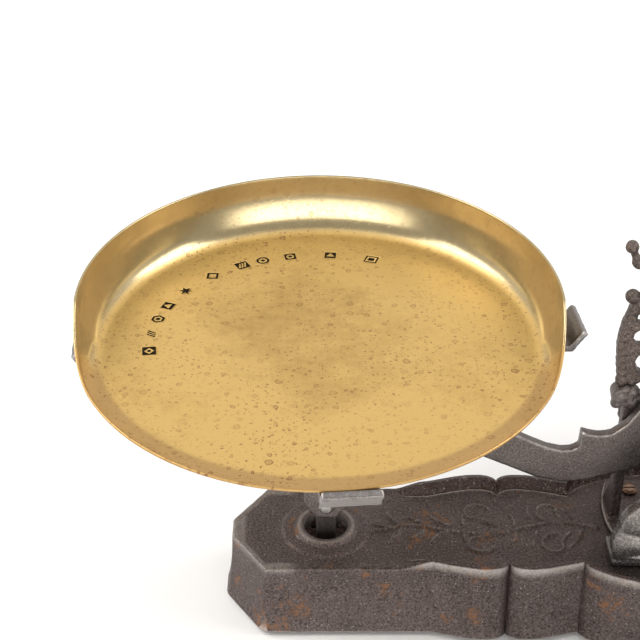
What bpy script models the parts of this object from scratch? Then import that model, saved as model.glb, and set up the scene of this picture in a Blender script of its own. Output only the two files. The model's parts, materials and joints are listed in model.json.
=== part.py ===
"""A Roberval counter scale with two round brass pans.

A forged beam rocks on a centre knife between the pillar and the front cheek. Each end of the beam
carries a pan carrier on an end knife: a yoke, a cross of two flat bars with bent-up ends, and a stem
that goes down through the base. A stay under the base top keeps both stems upright, and each pan lies
loose on its cross.

Lengths below are millimetres. +X runs along the beam, -Y is the front, +Z is up, and the origin is on
the counter under the middle of the beam.
"""

import math

import bmesh
import bpy
from mathutils import Matrix, Vector

MM = 0.001
GAP = 0.3

# Driving dimensions
ARM = 188.0
KNIFE_Z = 138.0
STAY_Z = 21.0
BASE_TOP = 44.0

BASE_HALF_LENGTH = 239.4
BASE_HALF_WIDTH = 34.0
BASE_END_HALF_WIDTH = 6.7
BASE_SHOULDER_X = 220.6
BASE_WALL = 4.5
BASE_SKIRT_Z = 2.5
BASE_FLARE = 4.0
BRACKET_X = 91.0
BRACKET_REACH = 40.0
BRACKET_BULGE = 6.0
LOBE_REACH = 51.0
LOBE_BULGE = 19.0
BORDER_HEIGHT = 6.0
BORDER_REACH = 150.0
STEM_HOLE_RADIUS = 12.0
RING_RADIUS = 15.5
RING_HEIGHT = 3.0
RING_PAD_RADIUS = 24.0
RING_PAD_HEIGHT = 1.0
FOOT_RADIUS = 9.0
FOOT_HEIGHT = 14.0
FOOT_X = 203.0
FOOT_Y = 27.0
LUG_HALF_WIDTH = 8.0
LUG_HALF_DEPTH = 4.5

PAN_RADIUS = 119.2
PAN_FLOOR_RADIUS = 110.5
PAN_BEND_RUN = 0.46
PAN_BEND_RISE = 0.11
PAN_FLOOR_Z = 168.3
PAN_THICKNESS = 1.4
PAN_SIDE_HEIGHT = 28.0
PAN_BACK_RISE = 3.5
PAN_SHIFT = 3.5
PAN_LIP_HEIGHT = 2.5
PAN_LIP_FLARE = 2.2
PAN_LIP_RISE = 5.0
PAN_LIP_ANGLE = 62.0
PAN_WALL_ANGLE = 86.0

BAR_WIDTH = 27.0
BAR_THICKNESS = 3.7
BAR_TOP = PAN_FLOOR_Z - PAN_THICKNESS - GAP
BAR_TIP_RADIUS = 129.2
BAR_TIP_RUN = 6.5
BAR_TIP_RISE = 9.3
CROSS_TURN = 4.7
LONG_BAR_SHORT_BY = 4.0

BEAM_THICKNESS = 5.8
BEAM_EYE_RADIUS = 14.0
KNIFE_HALF_WIDTH = 5.0
KNIFE_FLANK = 8.66
KNIFE_DEPTH = 12.0
BEARING_HALF_WIDTH = 8.0

YOKE_HALF_WIDTH = 12.0
YOKE_THICKNESS = 4.0
YOKE_INNER_Y = 9.0
YOKE_TOP = BAR_TOP - BAR_THICKNESS - GAP
YOKE_WINDOW_LOW = 120.0
YOKE_WINDOW_HIGH = 146.0
STEM_HALF_WIDTH = 5.5
STEM_HALF_DEPTH = 4.5
STEM_BOTTOM = 15.5
STEM_SHOULDER = 62.0
STEM_HEAD_TOP = 77.0
RIVET_RADIUS = 2.5
RIVET_HEAD_RADIUS = 4.2
HUB_BOTTOM = 151.3
HUB_HALF_WIDTH = 10.0
HUB_RIVET_Z = 155.5
STEM_RIVET_Z = 69.5
CROSS_HOLE_RADIUS = 3.3

STAY_HALF_HEIGHT = 4.5
STAY_THICKNESS = 3.0
STAY_INNER_Y = 5.3
STAY_PIN_RADIUS = 2.5
STAY_PIVOT_RADIUS = 3.0
STAY_PIN_OVERHANG = 1.7

POST_OUTER_X = 32.0
POST_WIDTH = 6.0
POST_FRONT_Y = 4.5
POST_BACK_Y = 12.5
FOOT_PLATE_THICKNESS = 3.0
FOOT_PLATE_TOP = BASE_TOP + GAP + FOOT_PLATE_THICKNESS
FLANGE_THICKNESS = 4.0
SHELF_THICKNESS = 11.0
SHELF_TOP = 130.0
CAPITAL_RADIUS = 5.5
CREST_FRONT_Y = 6.0
CREST_BACK_Y = 12.0
CHEEK_FRONT_Y = -31.0
CHEEK_BACK_Y = -26.0
SHELL_RADIUS = 38.0
SHELL_Z = 60.0
SHELL_SCALLOP = 1.6
SCREW_HOLE_RADIUS = 2.3
SMALL_HOLE_RADIUS = 1.6
CREST_SCREW_Z = 116.0
POINTER_SCREW_Z = 156.0
PILLAR_SCREWS = ((-16.0, 28.0), (16.0, 28.0))
CHEEK_SCREWS = ((-19.0, -19.0), (19.0, -19.0))

SIDES = (("left", -1), ("right", 1))

BRASS = ((0.83, 0.62, 0.24, 1.0), 0.28, 1.0)
FORGED_STEEL = ((0.30, 0.29, 0.28, 1.0), 0.45, 1.0)
HARD_STEEL = ((0.55, 0.55, 0.56, 1.0), 0.25, 1.0)
CAST_IRON = ((0.19, 0.16, 0.14, 1.0), 0.6, 0.8)
SCREW_STEEL = ((0.42, 0.40, 0.38, 1.0), 0.4, 1.0)


def clear_scene():
    for old in list(bpy.data.objects):
        bpy.data.objects.remove(old, do_unlink=True)


def new_collection(name):
    group = bpy.data.collections.new(name)
    bpy.context.scene.collection.children.link(group)
    return group


clear_scene()
PARTS = new_collection("brass_weighing_scale")
CUTTERS = new_collection("cutters")


# ---------------------------------------------------------------- shape helpers

def link_mesh(name, bm):
    """A new object that holds the mesh built in bm, in metres."""
    bmesh.ops.recalc_face_normals(bm, faces=bm.faces)
    mesh = bpy.data.meshes.new(name)
    bm.to_mesh(mesh)
    bm.free()
    made = bpy.data.objects.new(name, mesh)
    PARTS.objects.link(made)
    return made


def box(name, low, high):
    """A box between two corners, with its origin at its centre."""
    low = Vector(low) * MM
    high = Vector(high) * MM
    bm = bmesh.new()
    bmesh.ops.create_cube(bm, size=1.0)
    bmesh.ops.scale(bm, vec=high - low, verts=bm.verts)
    made = link_mesh(name, bm)
    made.location = (low + high) / 2
    return made


def cylinder(name, radius, start, end, segments=20):
    """A round bar between two points."""
    start = Vector(start) * MM
    end = Vector(end) * MM
    bm = bmesh.new()
    bmesh.ops.create_cone(bm, cap_ends=True, segments=segments, radius1=radius * MM,
                          radius2=radius * MM, depth=(end - start).length)
    made = link_mesh(name, bm)
    made.rotation_mode = "QUATERNION"
    made.rotation_quaternion = (end - start).to_track_quat("Z", "Y")
    made.location = (start + end) / 2
    return made


def ball(name, radius, centre):
    bm = bmesh.new()
    bmesh.ops.create_uvsphere(bm, u_segments=14, v_segments=8, radius=radius * MM)
    made = link_mesh(name, bm)
    made.location = Vector(centre) * MM
    return made


def settled(made):
    """The evaluated shape of an object as a plain mesh object in the same place."""
    bpy.context.view_layer.update()
    graph = bpy.context.evaluated_depsgraph_get()
    mesh = bpy.data.meshes.new_from_object(made.evaluated_get(graph))
    name = made.name
    place = made.matrix_world.copy()
    bpy.data.objects.remove(made, do_unlink=True)
    mesh.transform(place)
    bm = bmesh.new()
    bm.from_mesh(mesh)
    bmesh.ops.remove_doubles(bm, verts=bm.verts, dist=0.000002)
    bm.to_mesh(mesh)
    bm.free()
    plain = bpy.data.objects.new(name, mesh)
    PARTS.objects.link(plain)
    plain.name = name
    return plain


def plate(name, outlines, low_y, high_y):
    """A flat plate in the XZ plane: the first outline is its edge and the others are its holes."""
    curve = bpy.data.curves.new(name, "CURVE")
    curve.dimensions = "2D"
    curve.fill_mode = "BOTH"
    curve.extrude = (high_y - low_y) / 2 * MM
    for outline in outlines:
        spline = curve.splines.new("POLY")
        spline.points.add(len(outline) - 1)
        for point, (x, z) in zip(spline.points, outline):
            point.co = (x * MM, z * MM, 0.0, 1.0)
        spline.use_cyclic_u = True
    made = bpy.data.objects.new(name, curve)
    PARTS.objects.link(made)
    made.rotation_euler = (math.pi / 2, 0.0, 0.0)
    made.location = (0.0, (low_y + high_y) / 2 * MM, 0.0)
    return settled(made)


def tube(name, points, radius):
    """A bar of round section along a smooth line through the points."""
    curve = bpy.data.curves.new(name, "CURVE")
    curve.dimensions = "3D"
    curve.bevel_depth = radius * MM
    curve.bevel_resolution = 2
    curve.use_fill_caps = True
    curve.resolution_u = 4
    spline = curve.splines.new("BEZIER")
    spline.bezier_points.add(len(points) - 1)
    for knot, point in zip(spline.bezier_points, points):
        knot.co = Vector(point) * MM
        knot.handle_left_type = "AUTO"
        knot.handle_right_type = "AUTO"
    made = bpy.data.objects.new(name, curve)
    PARTS.objects.link(made)
    return settled(made)


def turned(name, profile, centre, segments=20):
    """A solid of revolution about Z: profile holds (radius, height) from the top down."""
    bm = bmesh.new()
    line = [bm.verts.new((radius * MM, 0.0, height * MM)) for radius, height in profile]
    for upper, lower in zip(line, line[1:]):
        bm.edges.new((upper, lower))
    mesh = bpy.data.meshes.new(name)
    bm.to_mesh(mesh)
    bm.free()
    made = bpy.data.objects.new(name, mesh)
    PARTS.objects.link(made)
    made.location = Vector(centre) * MM
    screw = made.modifiers.new("turn", "SCREW")
    screw.axis = "Z"
    screw.steps = segments
    screw.render_steps = segments
    screw.use_merge_vertices = True
    screw.merge_threshold = 0.00001
    return settled(made)


def as_cutter(piece):
    """Files a helper piece with the cutters, out of the render."""
    piece = settled(piece)
    PARTS.objects.unlink(piece)
    CUTTERS.objects.link(piece)
    piece.display_type = "WIRE"
    piece.hide_render = True
    return piece


def boolean(made, others, operation):
    """Joins or cuts a piece with other pieces, which are used up."""
    made = settled(made)
    for other in others:
        other = as_cutter(other)
        step = made.modifiers.new(operation.lower(), "BOOLEAN")
        step.operation = operation
        step.solver = "EXACT"
        step.object = other
        made = settled(made)
        bpy.data.objects.remove(other, do_unlink=True)
    return made


def fuse(made, *others):
    return boolean(made, others, "UNION")


def cut(made, *others):
    return boolean(made, others, "DIFFERENCE")


def bevelled(made, width, segments=2):
    bevel = made.modifiers.new("edges", "BEVEL")
    bevel.width = width * MM
    bevel.segments = segments
    bevel.limit_method = "ANGLE"
    bevel.angle_limit = math.radians(35)
    return made


def turned_about(made, angle, x):
    """Turns a settled piece about the vertical line through x, y = 0."""
    middle = Matrix.Translation((x * MM, 0.0, 0.0))
    made.data.transform(middle @ Matrix.Rotation(math.radians(angle), 4, "Z") @ middle.inverted())
    return made


def mirrored_outline(half):
    """A closed outline from its left half, given from the top middle round to the bottom middle."""
    return list(half) + [(-x, z) for x, z in reversed(half) if abs(x) > 0.001]


def arc(centre, radius, first, last, count):
    """Points of a circular arc, with its angles in degrees."""
    points = []
    for step in range(count):
        angle = math.radians(first + (last - first) * step / (count - 1))
        points.append((centre[0] + radius * math.cos(angle), centre[1] + radius * math.sin(angle)))
    return points


def ellipse(centre, half_width, half_height, count=14):
    points = []
    for step in range(count):
        angle = math.tau * step / count
        points.append((centre[0] + half_width * math.cos(angle),
                       centre[1] + half_height * math.sin(angle)))
    return points


def smooth_step(value):
    value = min(1.0, max(0.0, value))
    return value * value * (3.0 - 2.0 * value)


# ---------------------------------------------------------------- finish and placing

def material(name, look):
    colour, roughness, metallic = look
    made = bpy.data.materials.new(name)
    made.use_nodes = True
    shader = made.node_tree.nodes["Principled BSDF"]
    shader.inputs["Base Color"].default_value = colour
    shader.inputs["Roughness"].default_value = roughness
    shader.inputs["Metallic"].default_value = metallic
    made.diffuse_color = colour
    return made


def finished(made, look, parent, smooth=False):
    """Gives a piece its material, and puts its origin on the axis of the body it belongs to."""
    made.data.materials.clear()
    made.data.materials.append(material(made.name, look))
    bpy.context.view_layer.update()
    if smooth:
        made.data.shade_smooth()
        made.data.set_sharp_from_angle(angle=math.radians(35))
    made.parent = parent
    made.matrix_parent_inverse = parent.matrix_world.inverted()
    return made


def axis_empty(name, location):
    made = bpy.data.objects.new(name, None)
    made.empty_display_size = 0.02
    made.location = Vector(location) * MM
    PARTS.objects.link(made)
    bpy.context.view_layer.update()
    return made


# ---------------------------------------------------------------- base

def base_half_width(x):
    """Half the base's width at x: straight sides, a bracket-shaped bulge and a middle lobe."""
    x = abs(x)
    width = BASE_HALF_WIDTH
    away = abs(x - BRACKET_X) / BRACKET_REACH
    if away < 1.0:
        width += BRACKET_BULGE * math.sin(math.pi * away ** 0.55)
    if x < LOBE_REACH:
        width += LOBE_BULGE * math.sin(math.pi * (LOBE_REACH - x) / (2 * LOBE_REACH)) ** 0.6
    return width


def side_stations():
    """The x values of the base's side outline, from the left shoulder to the right shoulder."""
    near_bracket = [0.0, 1.5, 4.0, 8.0, 13.0, 19.0, 26.0, 33.0, 40.0]
    left = [-BASE_SHOULDER_X, -(BORDER_REACH + 30.0), -BORDER_REACH, -(BORDER_REACH - 9.0)]
    left += [-BRACKET_X - away for away in reversed(near_bracket)]
    left += [-BRACKET_X + away for away in near_bracket[1:]]
    left += [-49.0, -45.0, -38.0, -29.0, -19.0, -9.0]
    return left + [0.0] + [-x for x in reversed(left)]


def base_outline():
    """The base's plan outline, counter-clockwise seen from above."""
    stations = side_stations()
    front = [(x, -base_half_width(x)) for x in stations]
    right = [(BASE_HALF_LENGTH, -BASE_END_HALF_WIDTH), (BASE_HALF_LENGTH, BASE_END_HALF_WIDTH)]
    back = [(-x, -y) for x, y in front]
    left = [(-BASE_HALF_LENGTH, BASE_END_HALF_WIDTH), (-BASE_HALF_LENGTH, -BASE_END_HALF_WIDTH)]
    return front + right + back + left


def outline_normals(outline, closed=True):
    """The outward normal at each point of a counter-clockwise outline."""
    count = len(outline)
    normals = []
    for index in range(count):
        before = outline[index - 1] if closed or index else outline[0]
        after = outline[(index + 1) % count] if closed or index < count - 1 else outline[-1]
        along = Vector((after[0] - before[0], after[1] - before[1])).normalized()
        normals.append(Vector((along.y, -along.x)))
    return normals


def ring_of_verts(bm, outline, normals, offset, z):
    ring = []
    for (x, y), normal in zip(outline, normals):
        ring.append(bm.verts.new(((x + normal.x * offset) * MM, (y + normal.y * offset) * MM, z * MM)))
    return ring


def bridge_rings(bm, lower, upper, closed=True):
    count = len(lower)
    for index in range(count if closed else count - 1):
        after = (index + 1) % count
        bm.faces.new((lower[index], lower[after], upper[after], upper[index]))


def flare_directions(outline):
    """The way each outline point moves as the skirt flares: straight out along the long sides."""
    directions = []
    for (x, y), normal in zip(outline, outline_normals(outline)):
        on_side = abs(x) < BASE_SHOULDER_X - 1
        directions.append(Vector((0.0, math.copysign(1.0, y))) if on_side else normal)
    return directions


def base_shell():
    """The casting's top and flared skirt as an open surface, thickened inwards."""
    outline = base_outline()
    normals = flare_directions(outline)
    bm = bmesh.new()
    levels = ((BASE_FLARE, BASE_SKIRT_Z), (BASE_FLARE * 0.85, 6.0), (BASE_FLARE * 0.35, 20.0),
              (0.0, BASE_TOP - 3.0), (-0.8, BASE_TOP))
    rings = [ring_of_verts(bm, outline, normals, offset, z) for offset, z in levels]
    for lower, upper in zip(rings, rings[1:]):
        bridge_rings(bm, lower, upper)
    bm.faces.new(rings[-1])
    shell = link_mesh("base_casting", bm)
    thick = shell.modifiers.new("wall", "SOLIDIFY")
    thick.thickness = BASE_WALL * MM
    thick.offset = -1.0
    return settled(shell)


def border_height(x):
    """How far the raised border stands above the base top at x."""
    faded = smooth_step((BORDER_REACH - abs(x)) / (BORDER_REACH - BRACKET_X - BRACKET_REACH))
    return 0.3 + (BORDER_HEIGHT - 0.3) * faded


def border_strip(name, side):
    """The raised border along one long side: a hollow-flanked ridge that follows the outline."""
    path = [(x, -base_half_width(x)) for x in side_stations() if abs(x) <= BORDER_REACH]
    normals = outline_normals(path, closed=False)
    bm = bmesh.new()
    sections = []
    for (x, y), normal in zip(path, normals):
        height = border_height(x)
        profile = ((-0.8, BASE_TOP - 1.5), (-0.9, BASE_TOP + height), (-2.6, BASE_TOP + height),
                   (-4.2, BASE_TOP + 0.4 * height), (-7.5, BASE_TOP - 1.5))
        sections.append([bm.verts.new(((x + normal.x * out) * MM, (y + normal.y * out) * MM * side,
                                       z * MM)) for out, z in profile])
    for first, second in zip(sections, sections[1:]):
        bridge_rings(bm, first, second)
    bm.faces.new(sections[0])
    bm.faces.new(sections[-1])
    return link_mesh(name, bm)


def make_base(parent):
    base = base_shell()
    additions = [border_strip("border_front", 1), border_strip("border_back", -1)]
    for side in (-1, 1):
        x = side * ARM
        additions.append(cylinder("ring_pad", RING_PAD_RADIUS, (x, 0, BASE_TOP - 1.5),
                                  (x, 0, BASE_TOP + RING_PAD_HEIGHT), 32))
        additions.append(cylinder("ring", RING_RADIUS, (x, 0, BASE_TOP - 2.0),
                                  (x, 0, BASE_TOP + RING_HEIGHT), 32))
        for depth in (-1, 1):
            foot = (side * FOOT_X, depth * FOOT_Y)
            additions.append(cylinder("foot", FOOT_RADIUS, (*foot, 0), (*foot, FOOT_HEIGHT)))
    additions.append(box("stay_lug", (-LUG_HALF_WIDTH, -LUG_HALF_DEPTH, STAY_Z - LUG_HALF_WIDTH),
                         (LUG_HALF_WIDTH, LUG_HALF_DEPTH, BASE_TOP - 2)))
    base = fuse(base, *additions)
    holes = [cylinder("stem_hole", STEM_HOLE_RADIUS, (s * ARM, 0, 30), (s * ARM, 0, 60), 32)
             for s in (-1, 1)]
    holes.append(cylinder("pivot_hole", STAY_PIVOT_RADIUS + GAP, (0, -20, STAY_Z), (0, 20, STAY_Z)))
    for x, y in PILLAR_SCREWS + CHEEK_SCREWS:
        holes.append(cylinder("screw_hole", SCREW_HOLE_RADIUS, (x, y, 30), (x, y, 60), 12))
    base = cut(base, *holes)
    return finished(base, CAST_IRON, parent)


# ---------------------------------------------------------------- pillar, crest and cheek

def foot_plate(name):
    """The pillar's foot: a flat plate with bowed sides."""
    left = []
    for step in range(9):
        y = 38.0 - 46.0 * step / 8
        left.append((-34.0 + 6.0 * ((y - 10.0) / 28.0) ** 2, y))
    outline = left + [(-x, y) for x, y in reversed(left)]
    bm = bmesh.new()
    lower = ring_of_verts(bm, outline, outline_normals(outline), 0.0, BASE_TOP + GAP)
    upper = ring_of_verts(bm, outline, outline_normals(outline), 0.0, FOOT_PLATE_TOP)
    bridge_rings(bm, lower, upper)
    bm.faces.new(lower)
    bm.faces.new(upper)
    return link_mesh(name, bm)


def make_pillar(parent):
    pillar = foot_plate("pillar_casting")
    additions = []
    for side in (-1, 1):
        inner = side * (POST_OUTER_X - POST_WIDTH)
        outer = side * POST_OUTER_X
        low_x, high_x = sorted((inner, outer))
        additions.append(box("post", (low_x, POST_FRONT_Y, FOOT_PLATE_TOP - 1),
                             (high_x, POST_BACK_Y, SHELF_TOP - 2)))
        heel = [(0, FOOT_PLATE_TOP - 1), (0, FOOT_PLATE_TOP + 22), (12, FOOT_PLATE_TOP - 1)]
        rib = plate("post_rib", [heel], -POST_WIDTH / 2, POST_WIDTH / 2)
        rib.data.transform(Matrix.Rotation(math.pi / 2, 4, "Z"))
        rib.location = ((inner + outer) / 2 * MM, (POST_BACK_Y - 0.5) * MM, 0.0)
        additions.append(rib)
        knob = (side * (POST_OUTER_X + 1.5), SHELF_TOP - 0.5)
        additions.append(cylinder("capital", CAPITAL_RADIUS, (knob[0], POST_FRONT_Y - 1, knob[1]),
                                  (knob[0], POST_BACK_Y + 0.4, knob[1])))
    additions.append(box("bridge", (-POST_OUTER_X + 1, POST_FRONT_Y + 0.2, SHELF_TOP - SHELF_THICKNESS),
                         (POST_OUTER_X - 1, POST_BACK_Y - 0.2, SHELF_TOP)))
    pillar = fuse(pillar, *additions)
    holes = [cylinder("screw_hole", SCREW_HOLE_RADIUS, (x, y, 40), (x, y, 60), 12)
             for x, y in PILLAR_SCREWS]
    for side in (-1, 1):
        x = side * (POST_OUTER_X - POST_WIDTH / 2)
        holes.append(cylinder("crest_hole", SMALL_HOLE_RADIUS, (x, 7.5, CREST_SCREW_Z),
                              (x, 20, CREST_SCREW_Z), 12))
    pillar = cut(pillar, *holes)
    return finished(pillar, CAST_IRON, parent)


def crest_outlines():
    """The crest's pierced plate: two bowed ribs closed by an arch, with openings between scrolls."""
    left = [(0.0, 203.0), (-12.0, 201.5), (-23.0, 196.5), (-30.0, 190.5), (-34.4, 184.0),
            (-38.0, 172.0), (-39.2, 160.0), (-37.8, 147.5), (-36.5, 141.0), (-36.5, 136.5),
            (-26.0, 136.5), (-23.0, 139.0), (-15.0, 143.0), (-9.0, 152.0), (0.0, 154.0)]
    holes = [ellipse((0.0, 172.5), 14.5, 14.5, 20)]
    for side in (-1, 1):
        holes.append(ellipse((side * 27.5, 176.5), 4.0, 3.4, 10))
        holes.append(ellipse((side * 27.0, 165.0), 4.6, 5.0, 10))
        holes.append(ellipse((side * 23.5, 149.5), 5.6, 6.4, 12))
        holes.append(ellipse((side * 17.5, 191.5), 4.5, 3.0, 10))
    return [mirrored_outline(left)] + holes


def make_crest(parent):
    crest = plate("crest_ornament", crest_outlines(), CREST_FRONT_Y, CREST_BACK_Y)
    middle = (CREST_FRONT_Y + CREST_BACK_Y) / 2
    additions = []
    for side in (-1, 1):
        arm = [(side * 8, middle, 200), (side * 20, middle, 205), (side * 29, middle, 205.5),
               (side * 34, middle, 209), (side * 38, middle, 217)]
        additions.append(tube("arm", arm, 2.1))
        additions.append(ball("arm_ball", 3.4, (side * 38, middle, 217)))
        additions.append(ball("arm_knob", 3.6, (side * 33.6, middle, 208.4)))
        additions.append(ball("rib_knob", 3.6, (side * 34.4, middle, 188.6)))
        post_x = side * (POST_OUTER_X - POST_WIDTH / 2)
        additions.append(box("lug", (post_x - 3, POST_BACK_Y + GAP + 0.4, 110),
                             (post_x + 3, POST_BACK_Y + 4.0, 144)))
        additions.append(box("lug_neck", (post_x - 3, CREST_FRONT_Y + 1, 137.5),
                             (post_x + 3, POST_BACK_Y + 3.9, 143.5)))
    finial = [(0.0, 36.0), (1.6, 35.4), (2.2, 33.5), (1.4, 31.0), (3.6, 28.0), (4.8, 24.0), (3.8, 19.5),
              (1.9, 17.0), (4.4, 14.0), (4.9, 11.0), (2.6, 8.0), (3.8, 3.0), (3.8, 0.0), (0.0, 0.0)]
    additions.append(turned("finial", finial, (0, middle, 199), 16))
    crest = fuse(crest, *additions)
    holes = []
    for side in (-1, 1):
        x = side * (POST_OUTER_X - POST_WIDTH / 2)
        holes.append(cylinder("screw_hole", SMALL_HOLE_RADIUS, (x, 10, CREST_SCREW_Z),
                              (x, 20, CREST_SCREW_Z), 12))
    crest = cut(crest, *holes)
    return finished(crest, CAST_IRON, parent)


def cheek_outline():
    """The front cheek: a scalloped shell that stands on the base, with a neck above it."""
    foot = BASE_TOP + GAP + 1.0
    first = 180 + math.degrees(math.asin((SHELL_Z - foot) / SHELL_RADIUS))
    neck = math.degrees(math.acos(-13.0 / SHELL_RADIUS))
    left = [(0.0, 129.3), (-10.5, 129.3), (-12.0, 128.0), (-11.5, 112.0), (-13.0, 100.0)]
    count = 22
    for step in range(count):
        angle = neck + (first - neck) * step / (count - 1)
        flute = abs(math.cos(math.radians((angle - 90) * 6)))
        radius = SHELL_RADIUS - SHELL_SCALLOP * (1.0 - flute)
        left.append((radius * math.cos(math.radians(angle)),
                     SHELL_Z + radius * math.sin(math.radians(angle))))
    left[-1] = (left[-1][0], foot)
    left.append((0.0, foot))
    return mirrored_outline(left)


def make_cheek(parent):
    cheek = plate("front_cheek", [cheek_outline()], CHEEK_FRONT_Y, CHEEK_BACK_Y)
    flange = box("flange", (-36.5, CHEEK_FRONT_Y - 0.8, BASE_TOP + GAP),
                 (36.5, -11, BASE_TOP + GAP + FLANGE_THICKNESS))
    shelf = box("shelf", (-10, CHEEK_BACK_Y - 1, SHELF_TOP - SHELF_THICKNESS), (10, -5.2, SHELF_TOP))
    cheek = fuse(cheek, flange, shelf)
    holes = [cylinder("screw_hole", SCREW_HOLE_RADIUS, (x, y, 40), (x, y, 60), 12)
             for x, y in CHEEK_SCREWS]
    cheek = cut(cheek, *holes)
    return finished(cheek, CAST_IRON, parent)


def screw_piece(name, head_radius, head_height, shank_radius, shank_length, place, towards):
    """A slotted round-headed screw: place is under its head, and towards is the way the head faces."""
    profile = [(0.0, head_height), (head_radius * 0.7, head_height * 0.92),
               (head_radius, head_height * 0.45), (head_radius, 0.0), (shank_radius, 0.0),
               (shank_radius, -shank_length), (0.0, -shank_length)]
    made = turned(name, profile, (0, 0, 0), 16)
    slot = box("slot", (-head_radius * 1.2, -0.45, head_height * 0.5),
               (head_radius * 1.2, 0.45, head_height * 1.5))
    made = cut(made, slot)
    made.rotation_mode = "QUATERNION"
    made.rotation_quaternion = Vector(towards).to_track_quat("Z", "Y")
    made.location = Vector(place) * MM
    return settled(made)


def make_frame_screws(parent):
    flange_top = BASE_TOP + GAP + FLANGE_THICKNESS
    for name, places, top in (("pillar_screw", PILLAR_SCREWS, FOOT_PLATE_TOP),
                              ("cheek_screw", CHEEK_SCREWS, flange_top)):
        for (label, _), (x, y) in zip(SIDES, places):
            screw = screw_piece(f"{name}_{label}", 4.2, 2.4, 2.0, 11.5, (x, y, top + GAP), (0, 0, 1))
            finished(screw, SCREW_STEEL, parent, True)
    for label, side in SIDES:
        x = side * (POST_OUTER_X - POST_WIDTH / 2)
        place = (x, POST_BACK_Y + 4.0 + GAP, CREST_SCREW_Z)
        screw = screw_piece(f"crest_screw_{label}", 2.7, 1.8, 1.3, 8, place, (0, 1, 0))
        finished(screw, SCREW_STEEL, parent, True)


# ---------------------------------------------------------------- knives and bearings

def knife_outline(x, up, grow=0.0):
    """A knife's section with its edge at KNIFE_Z: up is 1 where the body is above the edge."""
    flank = KNIFE_FLANK + grow
    half = KNIFE_HALF_WIDTH + grow
    depth = KNIFE_DEPTH + grow
    points = [(0.0, -2 * grow), (half, flank), (half, depth), (-half, depth), (-half, flank)]
    return [(x + px, KNIFE_Z + up * pz) for px, pz in points]


def bearing_outline(x, up, half_width, back):
    """A V block whose groove faces a knife edge: up is 1 where the groove opens upwards."""
    apex = -GAP
    rise = half_width * math.tan(math.radians(30))
    points = [(0.0, apex), (half_width, apex + rise), (half_width, back), (-half_width, back),
              (-half_width, apex + rise)]
    return [(x + px, KNIFE_Z + up * pz) for px, pz in points]


def make_centre_bearings(parent):
    back = SHELF_TOP + GAP - KNIFE_Z
    for place, low_y, high_y in (("front", -13.0, -5.5), ("rear", 5.0, 12.3)):
        block = plate(f"centre_bearing_{place}", [bearing_outline(0.0, 1, BEARING_HALF_WIDTH, back)],
                      low_y, high_y)
        finished(block, HARD_STEEL, parent)


def make_knives(parent):
    finished(plate("centre_knife", [knife_outline(0.0, 1)], -12.6, 12.0), HARD_STEEL, parent)
    for label, side in SIDES:
        finished(plate(f"end_knife_{label}", [knife_outline(side * ARM, -1)], -12.8, 12.8),
                 HARD_STEEL, parent)


# ---------------------------------------------------------------- beam and pointer

def beam_outline():
    """The beam: two rising arms with eyes at their ends, a notch on each side, and a tall hub."""
    left = [(0.0, 162.0), (-7.0, 161.0), (-12.5, 156.5), (-15.0, 149.0), (-18.5, 139.5),
            (-25.4, 126.0), (-31.0, 117.0), (-38.2, 110.6), (-44.0, 109.6), (-50.0, 110.6),
            (-54.1, 112.4), (-54.7, 102.5), (-58.5, 100.3), (-63.4, 99.9), (-71.0, 101.8),
            (-79.0, 105.5), (-87.4, 109.8), (-120.0, 122.9), (-150.0, 134.9)]
    left += arc((-ARM, 134.5), BEAM_EYE_RADIUS, 72, 315, 15)
    left += [(-150.0, 113.6), (-105.4, 95.8), (-90.0, 88.6), (-76.0, 81.9), (-61.4, 78.4),
             (-48.0, 79.8), (-35.2, 83.7), (-20.8, 88.4), (-9.0, 91.4), (0.0, 92.2)]
    return mirrored_outline(left)


def make_beam(parent):
    half = BEAM_THICKNESS / 2
    outlines = [beam_outline(), knife_outline(0.0, 1, GAP)]
    for _, side in SIDES:
        outlines.append(knife_outline(side * ARM, -1, GAP))
    beam = plate("beam", outlines, -half, half)
    hole = cylinder("pointer_hole", SMALL_HOLE_RADIUS, (0, -half - 1, POINTER_SCREW_Z),
                    (0, 1.5, POINTER_SCREW_Z), 12)
    beam = cut(beam, hole)
    finished(bevelled(beam, 0.6), FORGED_STEEL, parent)


def make_pointer(parent):
    front = -BEAM_THICKNESS / 2 - GAP
    left = [(0.0, 186.0), (-0.5, 184.0), (-1.6, 170.0), (-4.6, 163.5), (-5.0, 156.0), (-3.6, 152.3),
            (0.0, 151.2)]
    hole = ellipse((0.0, POINTER_SCREW_Z), SMALL_HOLE_RADIUS, SMALL_HOLE_RADIUS, 12)
    blade = plate("pointer", [mirrored_outline(left), hole], front - 1.4, front)
    finished(blade, FORGED_STEEL, parent)
    place = (0, front - 1.4 - GAP, POINTER_SCREW_Z)
    screw = screw_piece("pointer_screw", 3.2, 1.7, 1.3, 4.4, place, (0, -1, 0))
    finished(screw, SCREW_STEEL, parent, True)


# ---------------------------------------------------------------- pan carriers

def shield_outline(x, top):
    """A yoke plate's edge: straight sides drawn in to the stem's width below."""
    right = [(YOKE_HALF_WIDTH, top), (YOKE_HALF_WIDTH, 74.0), (YOKE_HALF_WIDTH - 1.6, 68.5),
             (STEM_HALF_WIDTH + 1.5, 64.0), (STEM_HALF_WIDTH, STEM_SHOULDER)]
    return [(x + px, pz) for px, pz in right] + [(x - px, pz) for px, pz in reversed(right)]


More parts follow.
